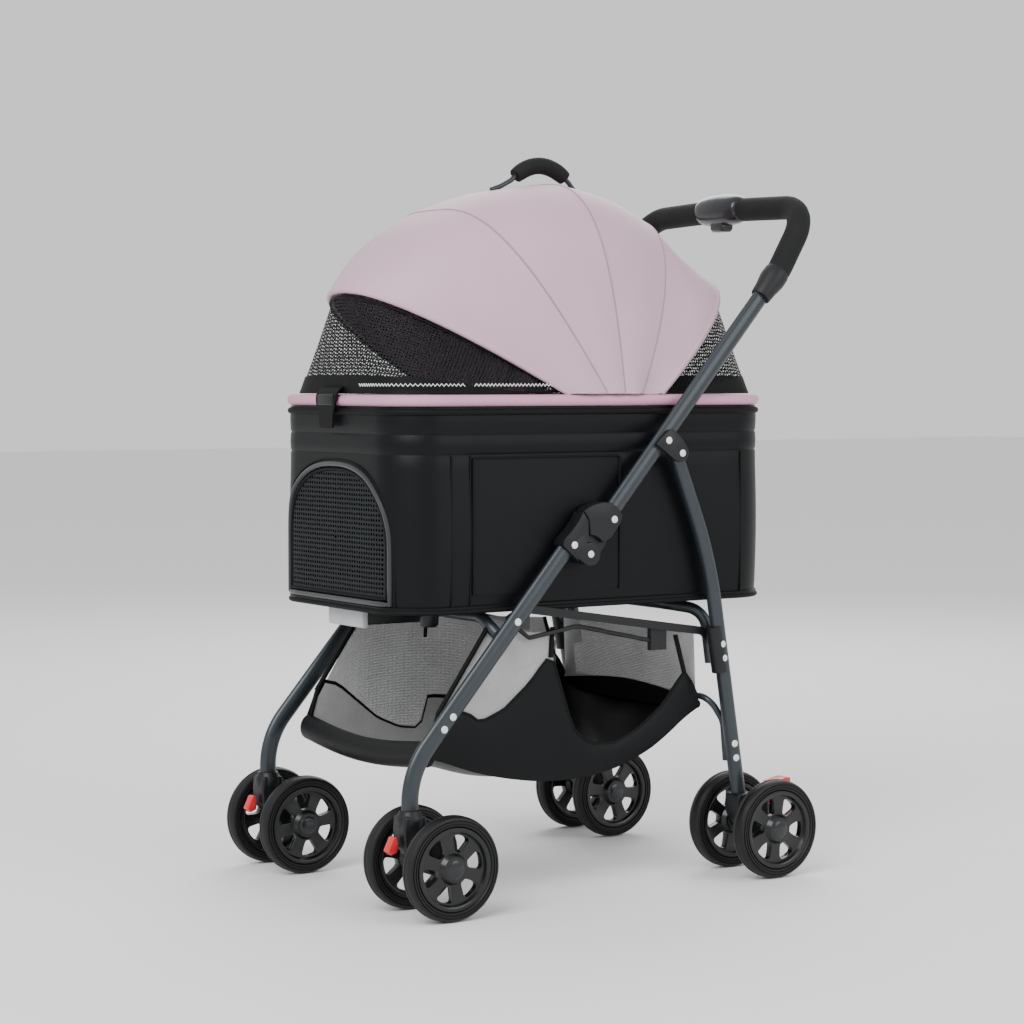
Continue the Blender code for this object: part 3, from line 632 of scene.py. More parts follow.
# the frame's tubes: front legs and handle tubes are oval, rear legs round
def addTubes():
    deep = sideFrame["legDeep"] / 2
    squeeze = (sideFrame["legWide"] / sideFrame["legDeep"], 1, 1)
    pivot = sideFrame["linkPivot"]
    turn = pivot - alongTube * ((pivot[0] - sideFrame["swivelY"]) / alongTube[0])
    for side, sign in sides:
        x = sign * sideFrame["legX"]
        path = bentPath((inSpace(x, onFrame(0.1165, 0)), inSpace(x, turn),
                         (x, sideFrame["swivelY"], 0.134)), (0.105,), 20)
        leg = flatten(tube(f"front_tube_{side}", path, deep, around=32), (x, 0, 0), squeeze)
        finishPiece(leg, "metal", "front_frame", (f"front_leg_{side}",))
        ends = (0.2075, 0.6150)
        path = [inSpace(x, onFrame(d, sideFrame["tubeOffset"])) for d in ends]
        upper = flatten(tube(f"upper_tube_{side}", path, deep, around=32), (x, 0, 0), squeeze)
        finishPiece(upper, "metal", "handle", (f"handle_tube_{side}",))
        x = sign * sideFrame["rearLegX"]
        path = bentPath((inSpace(x, sideFrame["bracketPivot"]), inSpace(x, rearLeg["knee"]),
                         inSpace(x, rearLeg["foot"])), (0.60,), 16)
        addTube(f"rear_tube_{side}", path, rearLeg["radius"], 32,
                "metal", "rear_frame", (f"rear_leg_{side}",))
        sleeve = [inSpace(x, (0.1702, 0.342)), inSpace(x, (0.1815, 0.280))]
        addTube(f"rear_leg_sleeve_{side}", sleeve, rearLeg["radius"] + 0.0012, 32,
                "plastic", "rear_frame")
    for name, (body, node, radius, bends, around, half) in crossTubes.items():
        corners = list(half) + [(-x, y, z) for x, y, z in reversed(half)]
        path = bentPath(corners, bends + bends[::-1], 8)
        addTube(name, path, radius, around, "metal", body, (node,))


# the moulded halves of each fold joint, which meet on a curved groove, and the brackets
def addFoldJoints():
    px, py = 0.1359, 0.0293

    def around(radius, angles):
        return [onFrame(px + radius * math.cos(math.radians(a)),
                        py + radius * math.sin(math.radians(a))) for a in angles]

    for side, sign in sides:
        x = sign * sideFrame["legX"]
        low, high = sorted((x - sign * 0.011, x + sign * 0.011))
        split = x + sign * 0.004
        lower = [onFrame(0.117, -0.012), onFrame(0.124, -0.0155), onFrame(0.140, -0.0135),
                 onFrame(0.158, -0.0135), onFrame(0.170, -0.016), onFrame(0.166, -0.002)]
        lower += around(0.021, (-50, -60, -70, -80, -90, -102, -115, -128, -140, -152, -165))
        lower += [onFrame(0.117, 0.019)]
        body = plate(f"lowerBody{side}", lower, low, high, 0.0022)
        cheek = around(0.0155, range(-60, 190, 12))
        cheek += [onFrame(0.118, 0.012), onFrame(0.128, -0.004), onFrame(0.150, 0.004)]
        ends = sorted((split + sign * 0.0003, x + sign * 0.0115))
        cover = plate(f"lowerCheek{side}", cheek, *ends, 0.0015)
        piece = joined([body, cover], f"fold_housing_lower_{side}")
        finishPiece(piece, "plastic", "front_frame", (f"fold_joint_lower_{side}",))
        upper = [onFrame(0.1715, -0.0155), onFrame(0.181, -0.013), onFrame(0.190, -0.008),
                 onFrame(0.200, 0.000), onFrame(0.2075, 0.010), onFrame(0.2095, 0.022),
                 onFrame(0.2075, 0.036), onFrame(0.199, 0.0395), onFrame(0.190, 0.0405),
                 onFrame(0.172, 0.041)]
        upper += around(0.0245, (15, 5, -5, -15, -24, -33, -42))
        upper += [onFrame(0.1685, -0.002)]
        shell = plate(f"upperShell{side}", upper, low, high, 0.0022)
        tongue = around(0.0145, range(90, 271, 20))
        tongue += [onFrame(0.180, 0.0148), onFrame(0.180, 0.0385), onFrame(0.160, 0.0438)]
        ends = sorted((x - sign * 0.011, split - sign * 0.0003))
        inner = plate(f"upperTongue{side}", tongue, *ends, 0.001)
        piece = joined([shell, inner], f"fold_housing_upper_{side}")
        finishPiece(piece, "plastic", "handle", (f"fold_joint_upper_{side}",))
        outline = [(0.0614, 0.5903), (0.070, 0.5995), (0.0825, 0.6102), (0.0900, 0.6090),
                   (0.0956, 0.6056), (0.1030, 0.5990), (0.1088, 0.5922), (0.1150, 0.5816),
                   (0.1145, 0.5760), (0.1120, 0.5700), (0.1056, 0.5663), (0.0985, 0.5665),
                   (0.0925, 0.5688), (0.0793, 0.5782), (0.0663, 0.5876)]
        ends = sorted((sign * 0.1978, sign * 0.2045))
        bracket = plate(f"bracket_plate_{side}", outline, *ends, 0.0018)
        finishPiece(bracket, "plastic", "handle", (f"leg_bracket_{side}",))


handle = {"barY": 0.3315, "barZ": 0.918, "grip": 0.0165}


# foam grips round the bend, rubber collars under them, and the console with its trigger
def addHandle():
    start = onFrame(0.6153, sideFrame["tubeOffset"])
    bend = onFrame(0.6330, sideFrame["tubeOffset"])
    barY, barZ = handle["barY"], handle["barZ"]
    for side, sign in sides:
        x = sign * sideFrame["legX"]
        path = bentPath((inSpace(x, start), inSpace(x, bend), (x, barY, barZ - 0.004),
                         (sign * 0.0465, barY, barZ)), (0.04, 0.052), 14)
        addTube(f"foam_grip_{side}", path, handle["grip"], 32,
                "foam", "handle", (f"handle_grip_{side}",))
        profile = [(-0.034, 0.0), (-0.034, 0.0135), (-0.032, 0.0142), (-0.020, 0.0152),
                   (-0.004, 0.0180), (0.008, 0.0178), (0.012, 0.0168), (0.012, 0.0)]
        collar = lathe(f"collar_{side}", profile, 40)
        turn = Matrix.Rotation(sideFrame["slope"], 4, "X") @ Matrix.Rotation(math.pi / 2, 4, "Z")
        collar.data.transform(Matrix.Translation(inSpace(x, start)) @ turn)
        finishPiece(collar, "rubber", "handle")
    spots = [(-0.0480, 0.80), (-0.043, 1.00), (-0.036, 1.12), (-0.026, 1.20),
             (-0.012, 1.26), (0.0, 1.28)]
    spots += [(-x, r) for x, r in reversed(spots[:-1])]
    body = tube("console_body", [(x, barY - 0.003, barZ + 0.001) for x, _ in spots], 0.0182,
                [r for _, r in spots], around=40)
    smoothOnce(body)
    finishPiece(body, "gloss", "handle", ("handle_console",))
    outline = [(barY - 0.015, 0.905), (barY - 0.015, 0.893), (barY - 0.011, 0.888),
               (barY + 0.003, 0.888), (barY + 0.007, 0.893), (barY + 0.007, 0.905)]
    trigger = plate("squeeze_trigger", outline, -0.0135, 0.0135, 0.0022)
    finishPiece(trigger, "gloss", "fold_trigger", ("fold_trigger",))


addTubes()
addFoldJoints()
addRivets()
addHandle()
print("frame and handle done")


carrier = {"y": -0.011, "halfWidth": 0.170, "halfLength": 0.300, "corner": 0.066, "floor": 0.378,
           "rimZ": 0.649, "doorSill": 0.392, "doorShoulder": 0.460,
           "doorHalf": 0.130, "doorRise": 0.104}


# (X, Y) points round a plan with rounded corners, closed
def roundedPlan(halfX, halfY, corner, steps):
    points = []
    for sx, sy, start in ((1, 1, 0), (-1, 1, 90), (-1, -1, 180), (1, -1, 270)):
        for k in range(steps + 1):
            a = math.radians(start + 90 * k / steps)
            points.append((sx * (halfX - corner) + corner * math.cos(a),
                           carrier["y"] + sy * (halfY - corner) + corner * math.sin(a)))
    return points


# the carrier's plan, grown outward, with points no more than 2 cm apart
def planPoints(grow=0.0):
    points = roundedPlan(carrier["halfWidth"] + grow, carrier["halfLength"] + grow,
                         carrier["corner"] + grow, 14)
    dense = []
    for (x0, y0), (x1, y1) in zip(points, points[1:] + points[:1]):
        cuts = max(1, round(math.hypot(x1 - x0, y1 - y0) / 0.02))
        dense += [(x0 + (x1 - x0) * c / cuts, y0 + (y1 - y0) * c / cuts) for c in range(cuts)]
    return dense


# how far forward the carrier's front wall stands at x
def wallY(x):
    flat = carrier["halfWidth"] - carrier["corner"]
    bend = max(0.0, abs(x) - flat)
    drop = carrier["corner"] - math.sqrt(max(0.0, carrier["corner"] ** 2 - bend ** 2))
    return carrier["y"] - carrier["halfLength"] + drop


# the arched doorway as (X, Z) points: straight sides, and a flattened arch over them
def doorOutline(inset=0.0, steps=40):
    half = carrier["doorHalf"] - inset
    rise = carrier["doorRise"] - inset
    points = []
    for k in range(steps + 1):
        a = math.pi * k / steps
        points.append((half * math.copysign(abs(math.cos(a)) ** 0.84, math.cos(a)),
                       carrier["doorShoulder"] + rise * math.sin(a) ** 0.84))
    sill = carrier["doorSill"] + inset
    points += [(-half, sill + (carrier["doorShoulder"] - sill) * s) for s in (0.66, 0.33)]
    points += [(-half + 2 * half * s / 16, sill) for s in range(17)]
    points += [(half, sill + (carrier["doorShoulder"] - sill) * s) for s in (0.33, 0.66)]
    return points


# heights of the wall's rows and how far each stands out, with two sewn seams near the top
def wallRows():
    rows = [(0.378, 0.0), (0.3815, 0.0018), (0.386, 0.0018), (0.3875, -0.0006), (0.400, 0.0002)]
    rows += [(0.400 + 0.16 * k / 8, 0.0002 + 0.0016 * math.sin(math.pi * k / 8))
             for k in range(1, 9)]
    rows += [(0.5780, 0.0), (0.5805, -0.0013), (0.5830, 0.0), (0.5930, 0.0006), (0.6035, 0.0),
             (0.6060, -0.0013), (0.6085, 0.0), (0.6220, 0.0008), (0.6330, 0.0004), (0.641, -0.0005)]
    return rows


def addCarrierBody():
    rows = []
    for z, out in wallRows():
        ring = planPoints(out)
        rows.append([(x, y, z) for x, y in ring + ring[:1]])
    wall = gridSheet("carrier_body", rows, 0.0035, closed=True)
    cutter = plate("doorCutter", doorOutline(), -0.42, -0.20, 0.0)
    cutter.data.transform(Matrix(((0, 1, 0, 0), (1, 0, 0, 0), (0, 0, 1, 0), (0, 0, 0, 1))))
    cutter.data.flip_normals()
    cutAway(wall, cutter)
    finishPiece(wall, "nylon", "carrier", ("carrier_shell",), 40, False)
    floor = plate("carrier_floor", planPoints(-0.002), 0.0, 0.004, 0.0012, 2)
    floor.data.transform(Matrix.Translation((0, 0, 0.3782)) @ lying)
    finishPiece(floor, "nylon", "carrier")


# rim, roll under it, the side pockets, seams, the door's piping and the strap clip
def addCarrierTrim():
    def ring(z, grow):
        return [(x, y, z) for x, y in planPoints(grow)]

    def doorLine(out, inset):
        return [(x, wallY(x) - out, z) for x, z in doorOutline(inset)]

    rim = tube("rim_tube", ring(carrier["rimZ"], -0.0035), 0.0080, closed=True, around=24)
    flatten(rim, (0, 0, carrier["rimZ"]), (1, 1, 0.95))
    finishPiece(rim, "rim", "carrier", ("carrier_rim",))
    for name, path, radius, around, look in (
            ("rim_roll", ring(0.6345, -0.0002), 0.0044, 16, "binding"),
            ("bottom_binding", ring(0.3800, 0.0006), 0.0032, 12, "binding"),
            # the door piping's grey colour is a painted highlight
            ("door_piping", doorLine(0.0012, -0.002), 0.0032, 16, "piping"),
            ("door_seam", doorLine(0.0008, -0.0085), 0.0013, 8, "binding")):
        addTube(name, path, radius, around, look, "carrier", closed=True)
    for side, sign in sides:
        x = sign * (carrier["halfWidth"] + 0.0020)
        rows = []
        for z in (0.400, 0.420, 0.450, 0.480, 0.510, 0.540, 0.565, 0.5760):
            bulge = 0.0022 * math.sin(math.pi * (z - 0.400) / 0.176)
            rows.append([(x + sign * bulge * math.sin(math.pi * k / 20),
                          -0.2050 + 0.2290 * k / 20, z) for k in range(21)])
        addSheet(f"side_pocket_{side}", rows, 0.0012,
                 "nylon", "carrier", (), 40, 1)
        edge = [(x + sign * 0.0004, y, z) for y, z in
                ((-0.2050, 0.400), (-0.2050, 0.5760), (0.0240, 0.5760), (0.0240, 0.400))]
        addTube(f"pocket_edge_{side}", bentPath(edge, (0.004, 0.004), 5), 0.0017, 12,
                "binding", "carrier")
        for k, y in enumerate((-0.2370, -0.2088, 0.2290)):
            ends = [(x - sign * 0.0012, y, z) for z in (0.386, 0.5790)]
            addTube(f"wall_seam_{side}_{k}", ends, 0.0013, 8, "binding", "carrier")


# the arched mesh door, a sheet stretched in its frame
def addDoor():
    outline = doorOutline(0.0035)
    centre = (0.0, 0.470)
    rows = []
    for s in (0.02, 0.25, 0.5, 0.75, 0.92, 1.0):
        row = []
        for x, z in outline + outline[:1]:
            px, pz = centre[0] + (x - centre[0]) * s, centre[1] + (z - centre[1]) * s
            row.append((px, wallY(px) + 0.0010, pz))
        rows.append(row)
    door = gridSheet("door_mesh", rows, closed=True)
    layer = door.data.uv_layers[0]
    for polygon in door.data.polygons:
        for index in polygon.loop_indices:
            spot = door.data.vertices[door.data.loops[index].vertex_index].co
            layer.data[index].uv = (spot.x, spot.z)
    finishPiece(door, "doorMesh", "front_door", ("front_door",), 60, False)
    path = [(x, wallY(x) + 0.0008, z) for x, z in doorOutline(0.0045)]
    addTube("door_edge", path, 0.0024, 12, "binding", "front_door", closed=True)


# the black webbing clip folded over the middle of the rim
def addClip():
    path = ((-0.2985, 0.6590, 0.022), (-0.3045, 0.6650, 0.026), (-0.3130, 0.6640, 0.027),
            (-0.3185, 0.6560, 0.027), (-0.3190, 0.6450, 0.026), (-0.3190, 0.6360, 0.020),
            (-0.3185, 0.6240, 0.018), (-0.3180, 0.6130, 0.018))
    rows = [[(-0.006 + wide * u / 3, y, z) for u in range(-3, 4)] for y, z, wide in path]
    addSheet("rim_clip", rows, 0.0026,
             "binding", "carrier", (), 50, 1)
    outline = [(-0.3225, 0.6560), (-0.3185, 0.6580), (-0.3185, 0.6410), (-0.3225, 0.6430)]
    buckle = plate("clip_buckle", outline, -0.026, 0.014, 0.0012)
    finishPiece(buckle, "plastic", "carrier")


def addBase():
    under = carrier["floor"] - 0.0003
    channel = plate("base_channel", [(-0.286, 0.356), (-0.188, 0.356), (-0.188, under - 0.003),
                                     (-0.286, under - 0.003)], -0.042, 0.042, 0.002)
    deck = plate("base_deck", [(-0.280, under - 0.004), (-0.188, under - 0.004), (-0.188, under),
                               (-0.280, under)], -0.100, 0.100, 0.001)
    parts = [deck, channel]
    for sx in (1, -1):
        lug = lathe(f"baseLug{sx}", [(0.0, 0.0), (0.0, 0.0095), (0.003, 0.0118), (0.018, 0.0130),
                                     (0.024, 0.0130), (0.024, 0.0)], 32)
        lug.data.transform(Matrix.Translation((sx * 0.068, -0.208, 0.352)) @ upward)
        parts.append(lug)
    base = joined(parts, "base_moulding")
    finishPiece(base, "plastic", "carrier", ("carrier_base",))
    catch = plate("catch_plate", [(-0.2965, 0.3525), (-0.2865, 0.3525), (-0.2865, under),
                                  (-0.2965, under)], -0.045, 0.045, 0.0025)
    finishPiece(catch, "grey", "carrier", ("front_catch",))


cushionSize = {"halfX": 0.150, "halfY": 0.280, "corner": 0.05, "low": 0.3850, "high": 0.4000,
               "voxel": 0.006, "puff": 0.004, "quilt": 0.112, "dip": 0.0055}


# the floor pad: puffed by pressure, then sewn down in quilted rows
def addCushion():
    value = cushionSize
    edge = roundedPlan(value["halfX"], value["halfY"], value["corner"], 8)
    pad = plate("floor_pad", edge, value["low"], value["high"], 0.004, 3)
    pad.data.transform(lying)
    modify(pad, "REMESH", mode="VOXEL", voxel_size=value["voxel"])
    flat = [v.co.copy() for v in pad.data.vertices]
    cloth = pad.modifiers.new("puff", "CLOTH")
    cloth.settings.use_pressure = True
    cloth.settings.uniform_pressure_force = 4
    cloth.settings.effector_weights.gravity = 0
    cloth.settings.quality = 5
    for k in range(1, 21):
        bpy.context.scene.frame_set(k)
    applyModifiers(pad)
    bpy.context.scene.frame_set(1)
    for vertex, start in zip(pad.data.vertices, flat):
        move = vertex.co - start
        if move.length > value["puff"]:
            vertex.co = start + move.normalized() * value["puff"]
        row = abs(math.sin(math.pi * (vertex.co.y - carrier["y"]) / value["quilt"])) ** 0.35
        if vertex.co.z > 0.396:
            vertex.co.z -= value["dip"] * (1 - row)
        vertex.co.z = max(vertex.co.z, 0.3828)
    smoothOnce(pad)
    finishPiece(pad, "binding", "carrier", ("floor_cushion",), 60)


addCarrierBody()
addCarrierTrim()
addDoor()
addClip()
addBase()
addCushion()
print("carrier done")


hood = {"y": 0.0386, "z": 0.6076, "half": 0.172, "foot": 0.6575, "steps": 48,
        "lipRear": 41.6, "ribRear": 65.2, "ribCentre": 96.9, "ribFront": 124.4, "lipFront": 151.3}
hoodShape = ((41.6, 0.3126, 2.44), (53.4, 0.2880, 2.25), (65.2, 0.3188, 2.06),
             (81.05, 0.3140, 2.80), (96.9, 0.3341, 3.50), (110.65, 0.3400, 3.40),
             (124.4, 0.3544, 3.27), (137.85, 0.3260, 2.75), (149.0, 0.3860, 2.26),
             (151.3, 0.3875, 2.22))


def hoodProfile(angle):
    for (a0, r0, p0), (a1, r1, p1) in zip(hoodShape, hoodShape[1:]):
        if angle <= a1:
            share = max(0.0, (angle - a0) / (a1 - a0))
            ease = 0.5 - 0.5 * math.cos(math.pi * share)
            return r0 + (r1 - r0) * ease, p0 + (p1 - p0) * ease
    return hoodShape[-1][1:]


# points of the arch at an angle above the rear, from the left foot over to the right one
def arch(angle, inset=0.0):
    turn = math.radians(angle)
    radius, power = hoodProfile(angle)
    radius -= inset
    half = hood["half"] - inset
    foot = min(0.98, (hood["foot"] - hood["z"]) / math.sin(turn) / radius)
    start = math.asin(foot ** (power / 2))
    points = []
    for k in range(hood["steps"] + 1):
        t = start + (math.pi - 2 * start) * k / hood["steps"]
        x = half * math.copysign(abs(math.cos(t)) ** (2 / power), math.cos(t))
        r = radius * math.sin(t) ** (2 / power)
        points.append(Vector((x, hood["y"] + r * math.cos(turn), hood["z"] + r * math.sin(turn))))
    return points


# four cloth panels between the ribs, each shaped between the arches of its two ribs
def addHood():
    panels = (("lip", "lipFront", "ribFront", "hood_lip_front", "hood_rib_front", "front", 0.035),
              ("front", "ribFront", "ribCentre", "hood_rib_front", "carrier", "front", 0.022),
              ("back", "ribCentre", "ribRear", "carrier", "hood_rib_rear", "rear", 0.025),
              ("tail", "ribRear", "lipRear", "hood_rib_rear", "hood_lip_rear", "rear", -0.015))
    for place, first, last, bodyA, bodyB, end, bulge in panels:
        name, one, two = f"hood_panel_{place}", hood[first], hood[last]
        edges = arch(one), arch(two)
        rows = []
        for k in range(13):
            share = k / 12
            sink = 1 + bulge * math.sin(math.pi * share)
            hub = Vector((0, hood["y"], hood["z"]))
            rows.append([hub + (a.lerp(b, share) - hub) * sink for a, b in zip(*edges)])
        panel = addSheet(name, rows, 0.0014,
                         "satin", None, (f"hood_{end}_fabric",))
        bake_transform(panel)
    trims = (("seam_front", "ribFront", "hood_rib_front", 0.0019, -0.0004, "seam"),
             ("seam_centre", "ribCentre", "carrier", 0.0019, -0.0004, "seam"),
             ("seam_rear", "ribRear", "hood_rib_rear", 0.0019, -0.0004, "seam"),
             ("lip_band_front", "lipFront", "hood_lip_front", 0.0042, 0.0020, "satin"),
             ("lip_edge_front", "lipFront", "hood_lip_front", 0.0020, 0.0066, "binding"),
             ("lip_roll_rear", "lipRear", "hood_lip_rear", 0.0048, 0.0022, "satin"),
             ("lip_edge_rear", "lipRear", "hood_lip_rear", 0.0018, 0.0076, "binding"))
    for name, where, body, radius, inset, look in trims:
        extra = 1.2 if name == "lip_edge_front" else (-1.2 if name == "lip_edge_rear" else 0.0)
        addTube(f"hood_{name}", arch(hood[where] + extra, inset), radius, 16, look, body)
    addTube("hood_lip_stitch", arch(hood["lipFront"] - 1.9, -0.0001), 0.0006, 8,
            "seam", "hood_lip_front")


# the canopy's foot: from the left side round the front (-1) or the back (1) to the right
def rimLine(end, startY, z, inset=0.0):
    half = hood["half"] - 0.0075 - inset
    reach = end * (carrier["y"] - startY) + carrier["halfLength"] - 0.0035 - inset
    points = []
    for k in range(hood["steps"] + 1):
        t = math.pi * k / hood["steps"]
        x = half * math.copysign(abs(math.cos(t)) ** 0.4, math.cos(t))
        points.append(Vector((x, startY + end * reach * abs(math.sin(t)) ** 0.4, z)))
    return points


# mesh aprons between each lip and the rim, and the dark tape with the zip along the rim
def addCanopy():
    for name, end, angle in (("canopy_front", -1, hood["lipFront"] + 1.6),
                             ("canopy_rear", 1, hood["lipRear"] - 1.6)):
        lip = arch(angle, 0.0085)
        foot = rimLine(end, lip[0][1] + end * 0.02, hood["foot"])
        rows = [[one.lerp(two, s / 12) for one, two in zip(lip, foot)] for s in range(13)]
        addSheet(name, rows, 0,
                 "mesh", "carrier", ("mesh_canopy",))
        head = []
        for one, two in zip(lip, foot):
            rise = min(1.0, 0.025 / max(0.001, (one - two).length))
            head.append(two.lerp(one, rise) + Vector((0, end * 0.0008, 0)))
        rows = [[two.lerp(one, s / 2) for one, two in zip(head, foot)] for s in range(3)]
        addSheet(f"{name}_tape", rows, 0.0008,
                 "binding", "carrier")


# a white zip in two runs, a fine zig-zag of teeth along the tape at the canopy's left front
def addZip():
    foot = rimLine(-1, arch(hood["lipFront"] + 1.6, 0.0085)[0][1] - 0.02, hood["foot"])
    runs = []
    for low, high in ((-0.062, -0.2), (-0.21, -0.4)):
        teeth, travel, flip = [], 0.0, 1
        for one, two in zip(foot, foot[1:]):
            if two[0] < 0.03:
                break
            step = max(1, round((two - one).length / 0.0028))
            for k in range(step):
                spot = one.lerp(two, k / step)
                travel = spot[1] - 0.5 * max(0.0, 0.13 - spot[0])
                if high < travel < low:
                    flip = -flip
                    out = Vector((0.0022, -0.0012, 0.0115 + 0.0016 * flip))
                    teeth.append(spot + out)
        if len(teeth) > 2:
            runs.append(tube(f"zipRun{len(runs)}", teeth, 0.0007, around=8))
    if runs:
        piece = joined(runs, "canopy_zip")
        finishPiece(piece, "zip", "carrier")


def addCarryHandle():
    crown, middle, drop, half = 0.9685, 0.0125, 9.5, 0.040

    def onArch(s):
        return Vector((0, middle + s, crown - drop * s * s))

    path = [Vector((0, middle - 0.080, 0.9328)), Vector((0, middle - 0.064, 0.9385))]
    path += [onArch(half * 1.2 * k / 16) for k in range(-16, 17)]
    path += [Vector((0, middle + 0.058, 0.9350)), Vector((0, middle + 0.067, 0.9262))]
    addTube("carry_bar", path, 0.0035, 16, "metal", "carrier", ("carry_handle_bar",))
    spots = [half * k / 16 for k in range(-16, 17)]
    sizes = [1.0 - 0.12 * abs(s / half) ** 6 for s in spots]
    grip = tube("carry_grip", [onArch(s) for s in spots], 0.0115, sizes, around=28)
    finishPiece(grip, "foam", "carrier", ("carry_handle_grip",))


addHood()
addCanopy()
addZip()
addCarryHandle()
print("hood and canopy done")


basket = {"half": 0.157, "sag": ((-0.268, 0.196), (-0.230, 0.179), (-0.170, 0.160), (-0.090, 0.146),
                                 (-0.010, 0.147), (0.060, 0.164), (0.120, 0.196), (0.165, 0.235)),
          "top": ((-0.262, 0.220), (-0.180, 0.352), (0.128, 0.330), (0.162, 0.262)),
          "windowReach": {"left": 0.186, "right": 0.405},
          "straps": (((-0.252, 0.248), (-0.176, 0.356)), ((-0.077, 0.312), (-0.074, 0.352)),
                     ((0.142, 0.279), (0.127, 0.330)), ((-0.264, 0.205), (-0.250, 0.250)))}


# height of a (Y, Z) line at y, eased between its points
def along(points, y):
    for (y0, z0), (y1, z1) in zip(points, points[1:]):
        if y <= y1:
            share = max(0.0, (y - y0) / (y1 - y0))
            return z0 + (z1 - z0) * share
    return points[-1][1]


def smoothSag(y):
    return sum(along(basket["sag"], y + d) for d in (-0.03, -0.015, 0, 0.015, 0.03)) / 5


# the upper edge of the black cloth on each side: down to a corner, up to a strap, down again
flapLine = {
    "left": ((-0.266, 0.212), (-0.250, 0.252), (-0.207, 0.248), (-0.187, 0.234), (-0.150, 0.248),
             (-0.110, 0.280), (-0.085, 0.308), (-0.077, 0.314), (-0.068, 0.296), (-0.055, 0.250),
             (-0.040, 0.214), (-0.015, 0.193), (0.025, 0.192), (0.065, 0.208), (0.105, 0.236),
             (0.130, 0.266), (0.142, 0.280), (0.152, 0.268), (0.164, 0.246)),
    "right": ((-0.266, 0.212), (-0.245, 0.262), (-0.219, 0.256), (-0.185, 0.228), (-0.156, 0.204),
              (-0.120, 0.188), (-0.086, 0.184), (-0.072, 0.230), (-0.040, 0.226), (0.000, 0.232),
              (0.060, 0.246), (0.100, 0.262), (0.142, 0.280), (0.152, 0.268), (0.164, 0.246)),
}


def flapTop(side, y):
    return max(smoothSag(y) + 0.012, along(flapLine[side], y))


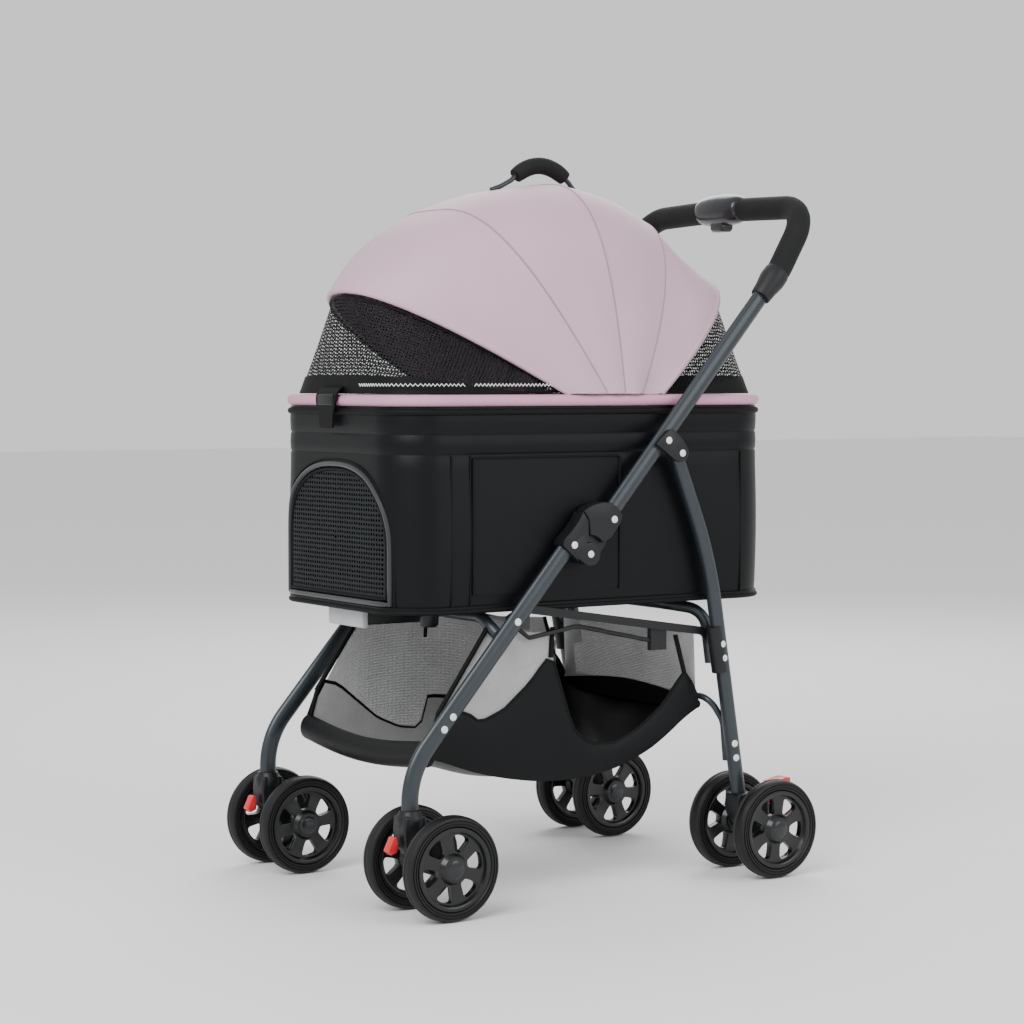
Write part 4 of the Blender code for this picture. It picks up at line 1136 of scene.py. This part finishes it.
# the hammock under the carrier: sagging cloth, pale mesh sides and black straps
def addBasket():
    half, body, black = basket["half"], "side_links", "carrier_cloth"
    stands = ("storage_basket",)
    spots = [-0.266 + 0.430 * k / 40 for k in range(41)]
    across = [-1 + k / 12 for k in range(25)]
    rows = []
    for y in spots:
        base = smoothSag(y) + 0.004
        rows.append([(half * u, y, base - 0.008 * (1 - u * u) + 0.010 * abs(u) ** 6
                      + 0.0014 * math.sin(37 * y + 9 * u) * (1 - u * u)) for u in across])
    pieces = [addSheet("basket_sling", rows, 0.0018, "nylon", body, stands)]
    for side, sign in sides:
        reach = basket["windowReach"][side]
        rows = []
        for y in [-0.258 + reach * k / 36 for k in range(37)]:
            low, high = smoothSag(y) + 0.012, along(basket["top"], y)
            rows.append([(sign * (half + 0.0006), y, low + (max(high, low + 0.004) - low) * k / 10)
                         for k in range(11)])
        window = addSheet(f"basket_window_{side}", rows, 0,
                          "paleMesh", body, stands)
        rows = []
        for y in spots:
            low, high = smoothSag(y) + 0.002, flapTop(side, y)
            rows.append([(sign * (half + 0.0016 + 0.003 * math.sin(math.pi * k / 6)), y,
                          low + (high - low) * k / 6) for k in range(7)])
        flap = addSheet(f"basket_flap_{side}", rows, 0.0014,
                        "nylon", body, stands)
        path = [(sign * (half + 0.0022), y, flapTop(side, y)) for y in spots]
        edge = addTube(f"basket_flap_edge_{side}", path, 0.0022, 10, "binding", body)
        straps = [tube(f"strap{k}", [(sign * (half + 0.002), *spot) for spot in ends], 0.0034,
                       around=12) for k, ends in enumerate(basket["straps"])]
        strap = joined(straps, f"basket_straps_{side}")
        finishPiece(strap, "binding", body)
        pieces += [window, flap, edge, strap]
    swell = [math.sin(math.pi * k / 24) for k in range(25)]
    path = [(half * u, -0.266 - 0.004 * s, 0.199 - 0.012 * s) for u, s in zip(across, swell)]
    roll = tube("basket_front_roll", path, 0.0170, around=24)
    flatten(roll, (0, -0.266, 0.195), (1, 0.72, 1))
    finishPiece(roll, "nylon", body)
    foot = [smoothSag(0.164) + 0.004 - 0.008 * (1 - u ** 2) for u in across]
    rows = [[(half * u, 0.160 + 0.004 * (r / 6), 0.330 + (low - 0.330) * r / 6)
             for u, low in zip(across, foot)] for r in range(7)]
    lower = [[(x, y - 0.002, min(z, 0.245 + 0.009 * math.cos(2 * x / half))) for x, y, z in row]
             for row in rows]
    pieces += [addSheet("basket_back_panel", lower, 0.0012, "nylon", body),
               addSheet("basket_back_window", rows, 0,
                        "paleMesh", body, stands)]
    path = [(half * u, 0.166, low + 0.003) for u, low in zip(across, foot)]
    hem = addTube("basket_back_hem", path, 0.0060, 16, "binding", body)
    for piece in pieces + [roll, hem]:
        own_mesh(piece)


addBasket()
print("basket done")


# materials for the CAD parts that keep their own shape
def finishNodes():
    kept = {
        "steel": ("axle_front_left", "axle_front_right", "axle_rear_left", "axle_rear_right"),
        "plastic": ("side_link_left", "side_link_right", "latch_hook_left", "latch_hook_right"),
        "seam": ("hood_lip_front", "hood_lip_rear", "hood_rib_front", "hood_rib_rear",
                 "hood_rib_centre"),
    }
    for look, names in kept.items():
        for name in names:
            nodes[name].data.materials.clear()
            nodes[name].data.materials.append(looks[look].material)


def addStage():
    clearSelection()
    bpy.ops.mesh.primitive_plane_add(size=40)
    floor = bpy.context.object
    floor.name = "studio_floor"
    look = Look("studioFloor", (0.86, 0.86, 0.86), 0.9)
    floor.data.materials.append(look.material)
    world = bpy.data.worlds.new("studio")
    bpy.context.scene.world = world
    world.use_nodes = True
    world.node_tree.nodes["Background"].inputs[0].default_value = (1.0, 1.0, 1.0, 1)
    world.node_tree.nodes["Background"].inputs[1].default_value = 0.95
    lights = (("key", (1.6, -2.6, 2.8), 2.2, 120), ("fill", (3.2, 1.4, 1.8), 2.0, 40),
              ("back", (-2.2, 1.8, 2.6), 2.4, 60))
    for name, spot, size, power in lights:
        light = bpy.data.lights.new(name, "AREA")
        light.size = size
        light.energy = power
        lamp = bpy.data.objects.new(name, light)
        lamp.location = spot
        aim = Vector((0, 0, 0.5)) - Vector(spot)
        lamp.rotation_euler = aim.to_track_quat("-Z", "Y").to_euler()
        bpy.context.collection.objects.link(lamp)


def addCamera():
    camera = bpy.data.cameras.new("view")
    camera.lens = 89.04
    camera.sensor_width = 36
    eye = bpy.data.objects.new("view", camera)
    eye.location = (2.897, -1.935, 0.6733)
    eye.rotation_euler = (math.radians(90 - 2.947), 0, math.radians(56.72))
    bpy.context.collection.objects.link(eye)
    bpy.context.scene.camera = eye


finishNodes()
addStage()
addCamera()
print("all pieces made")
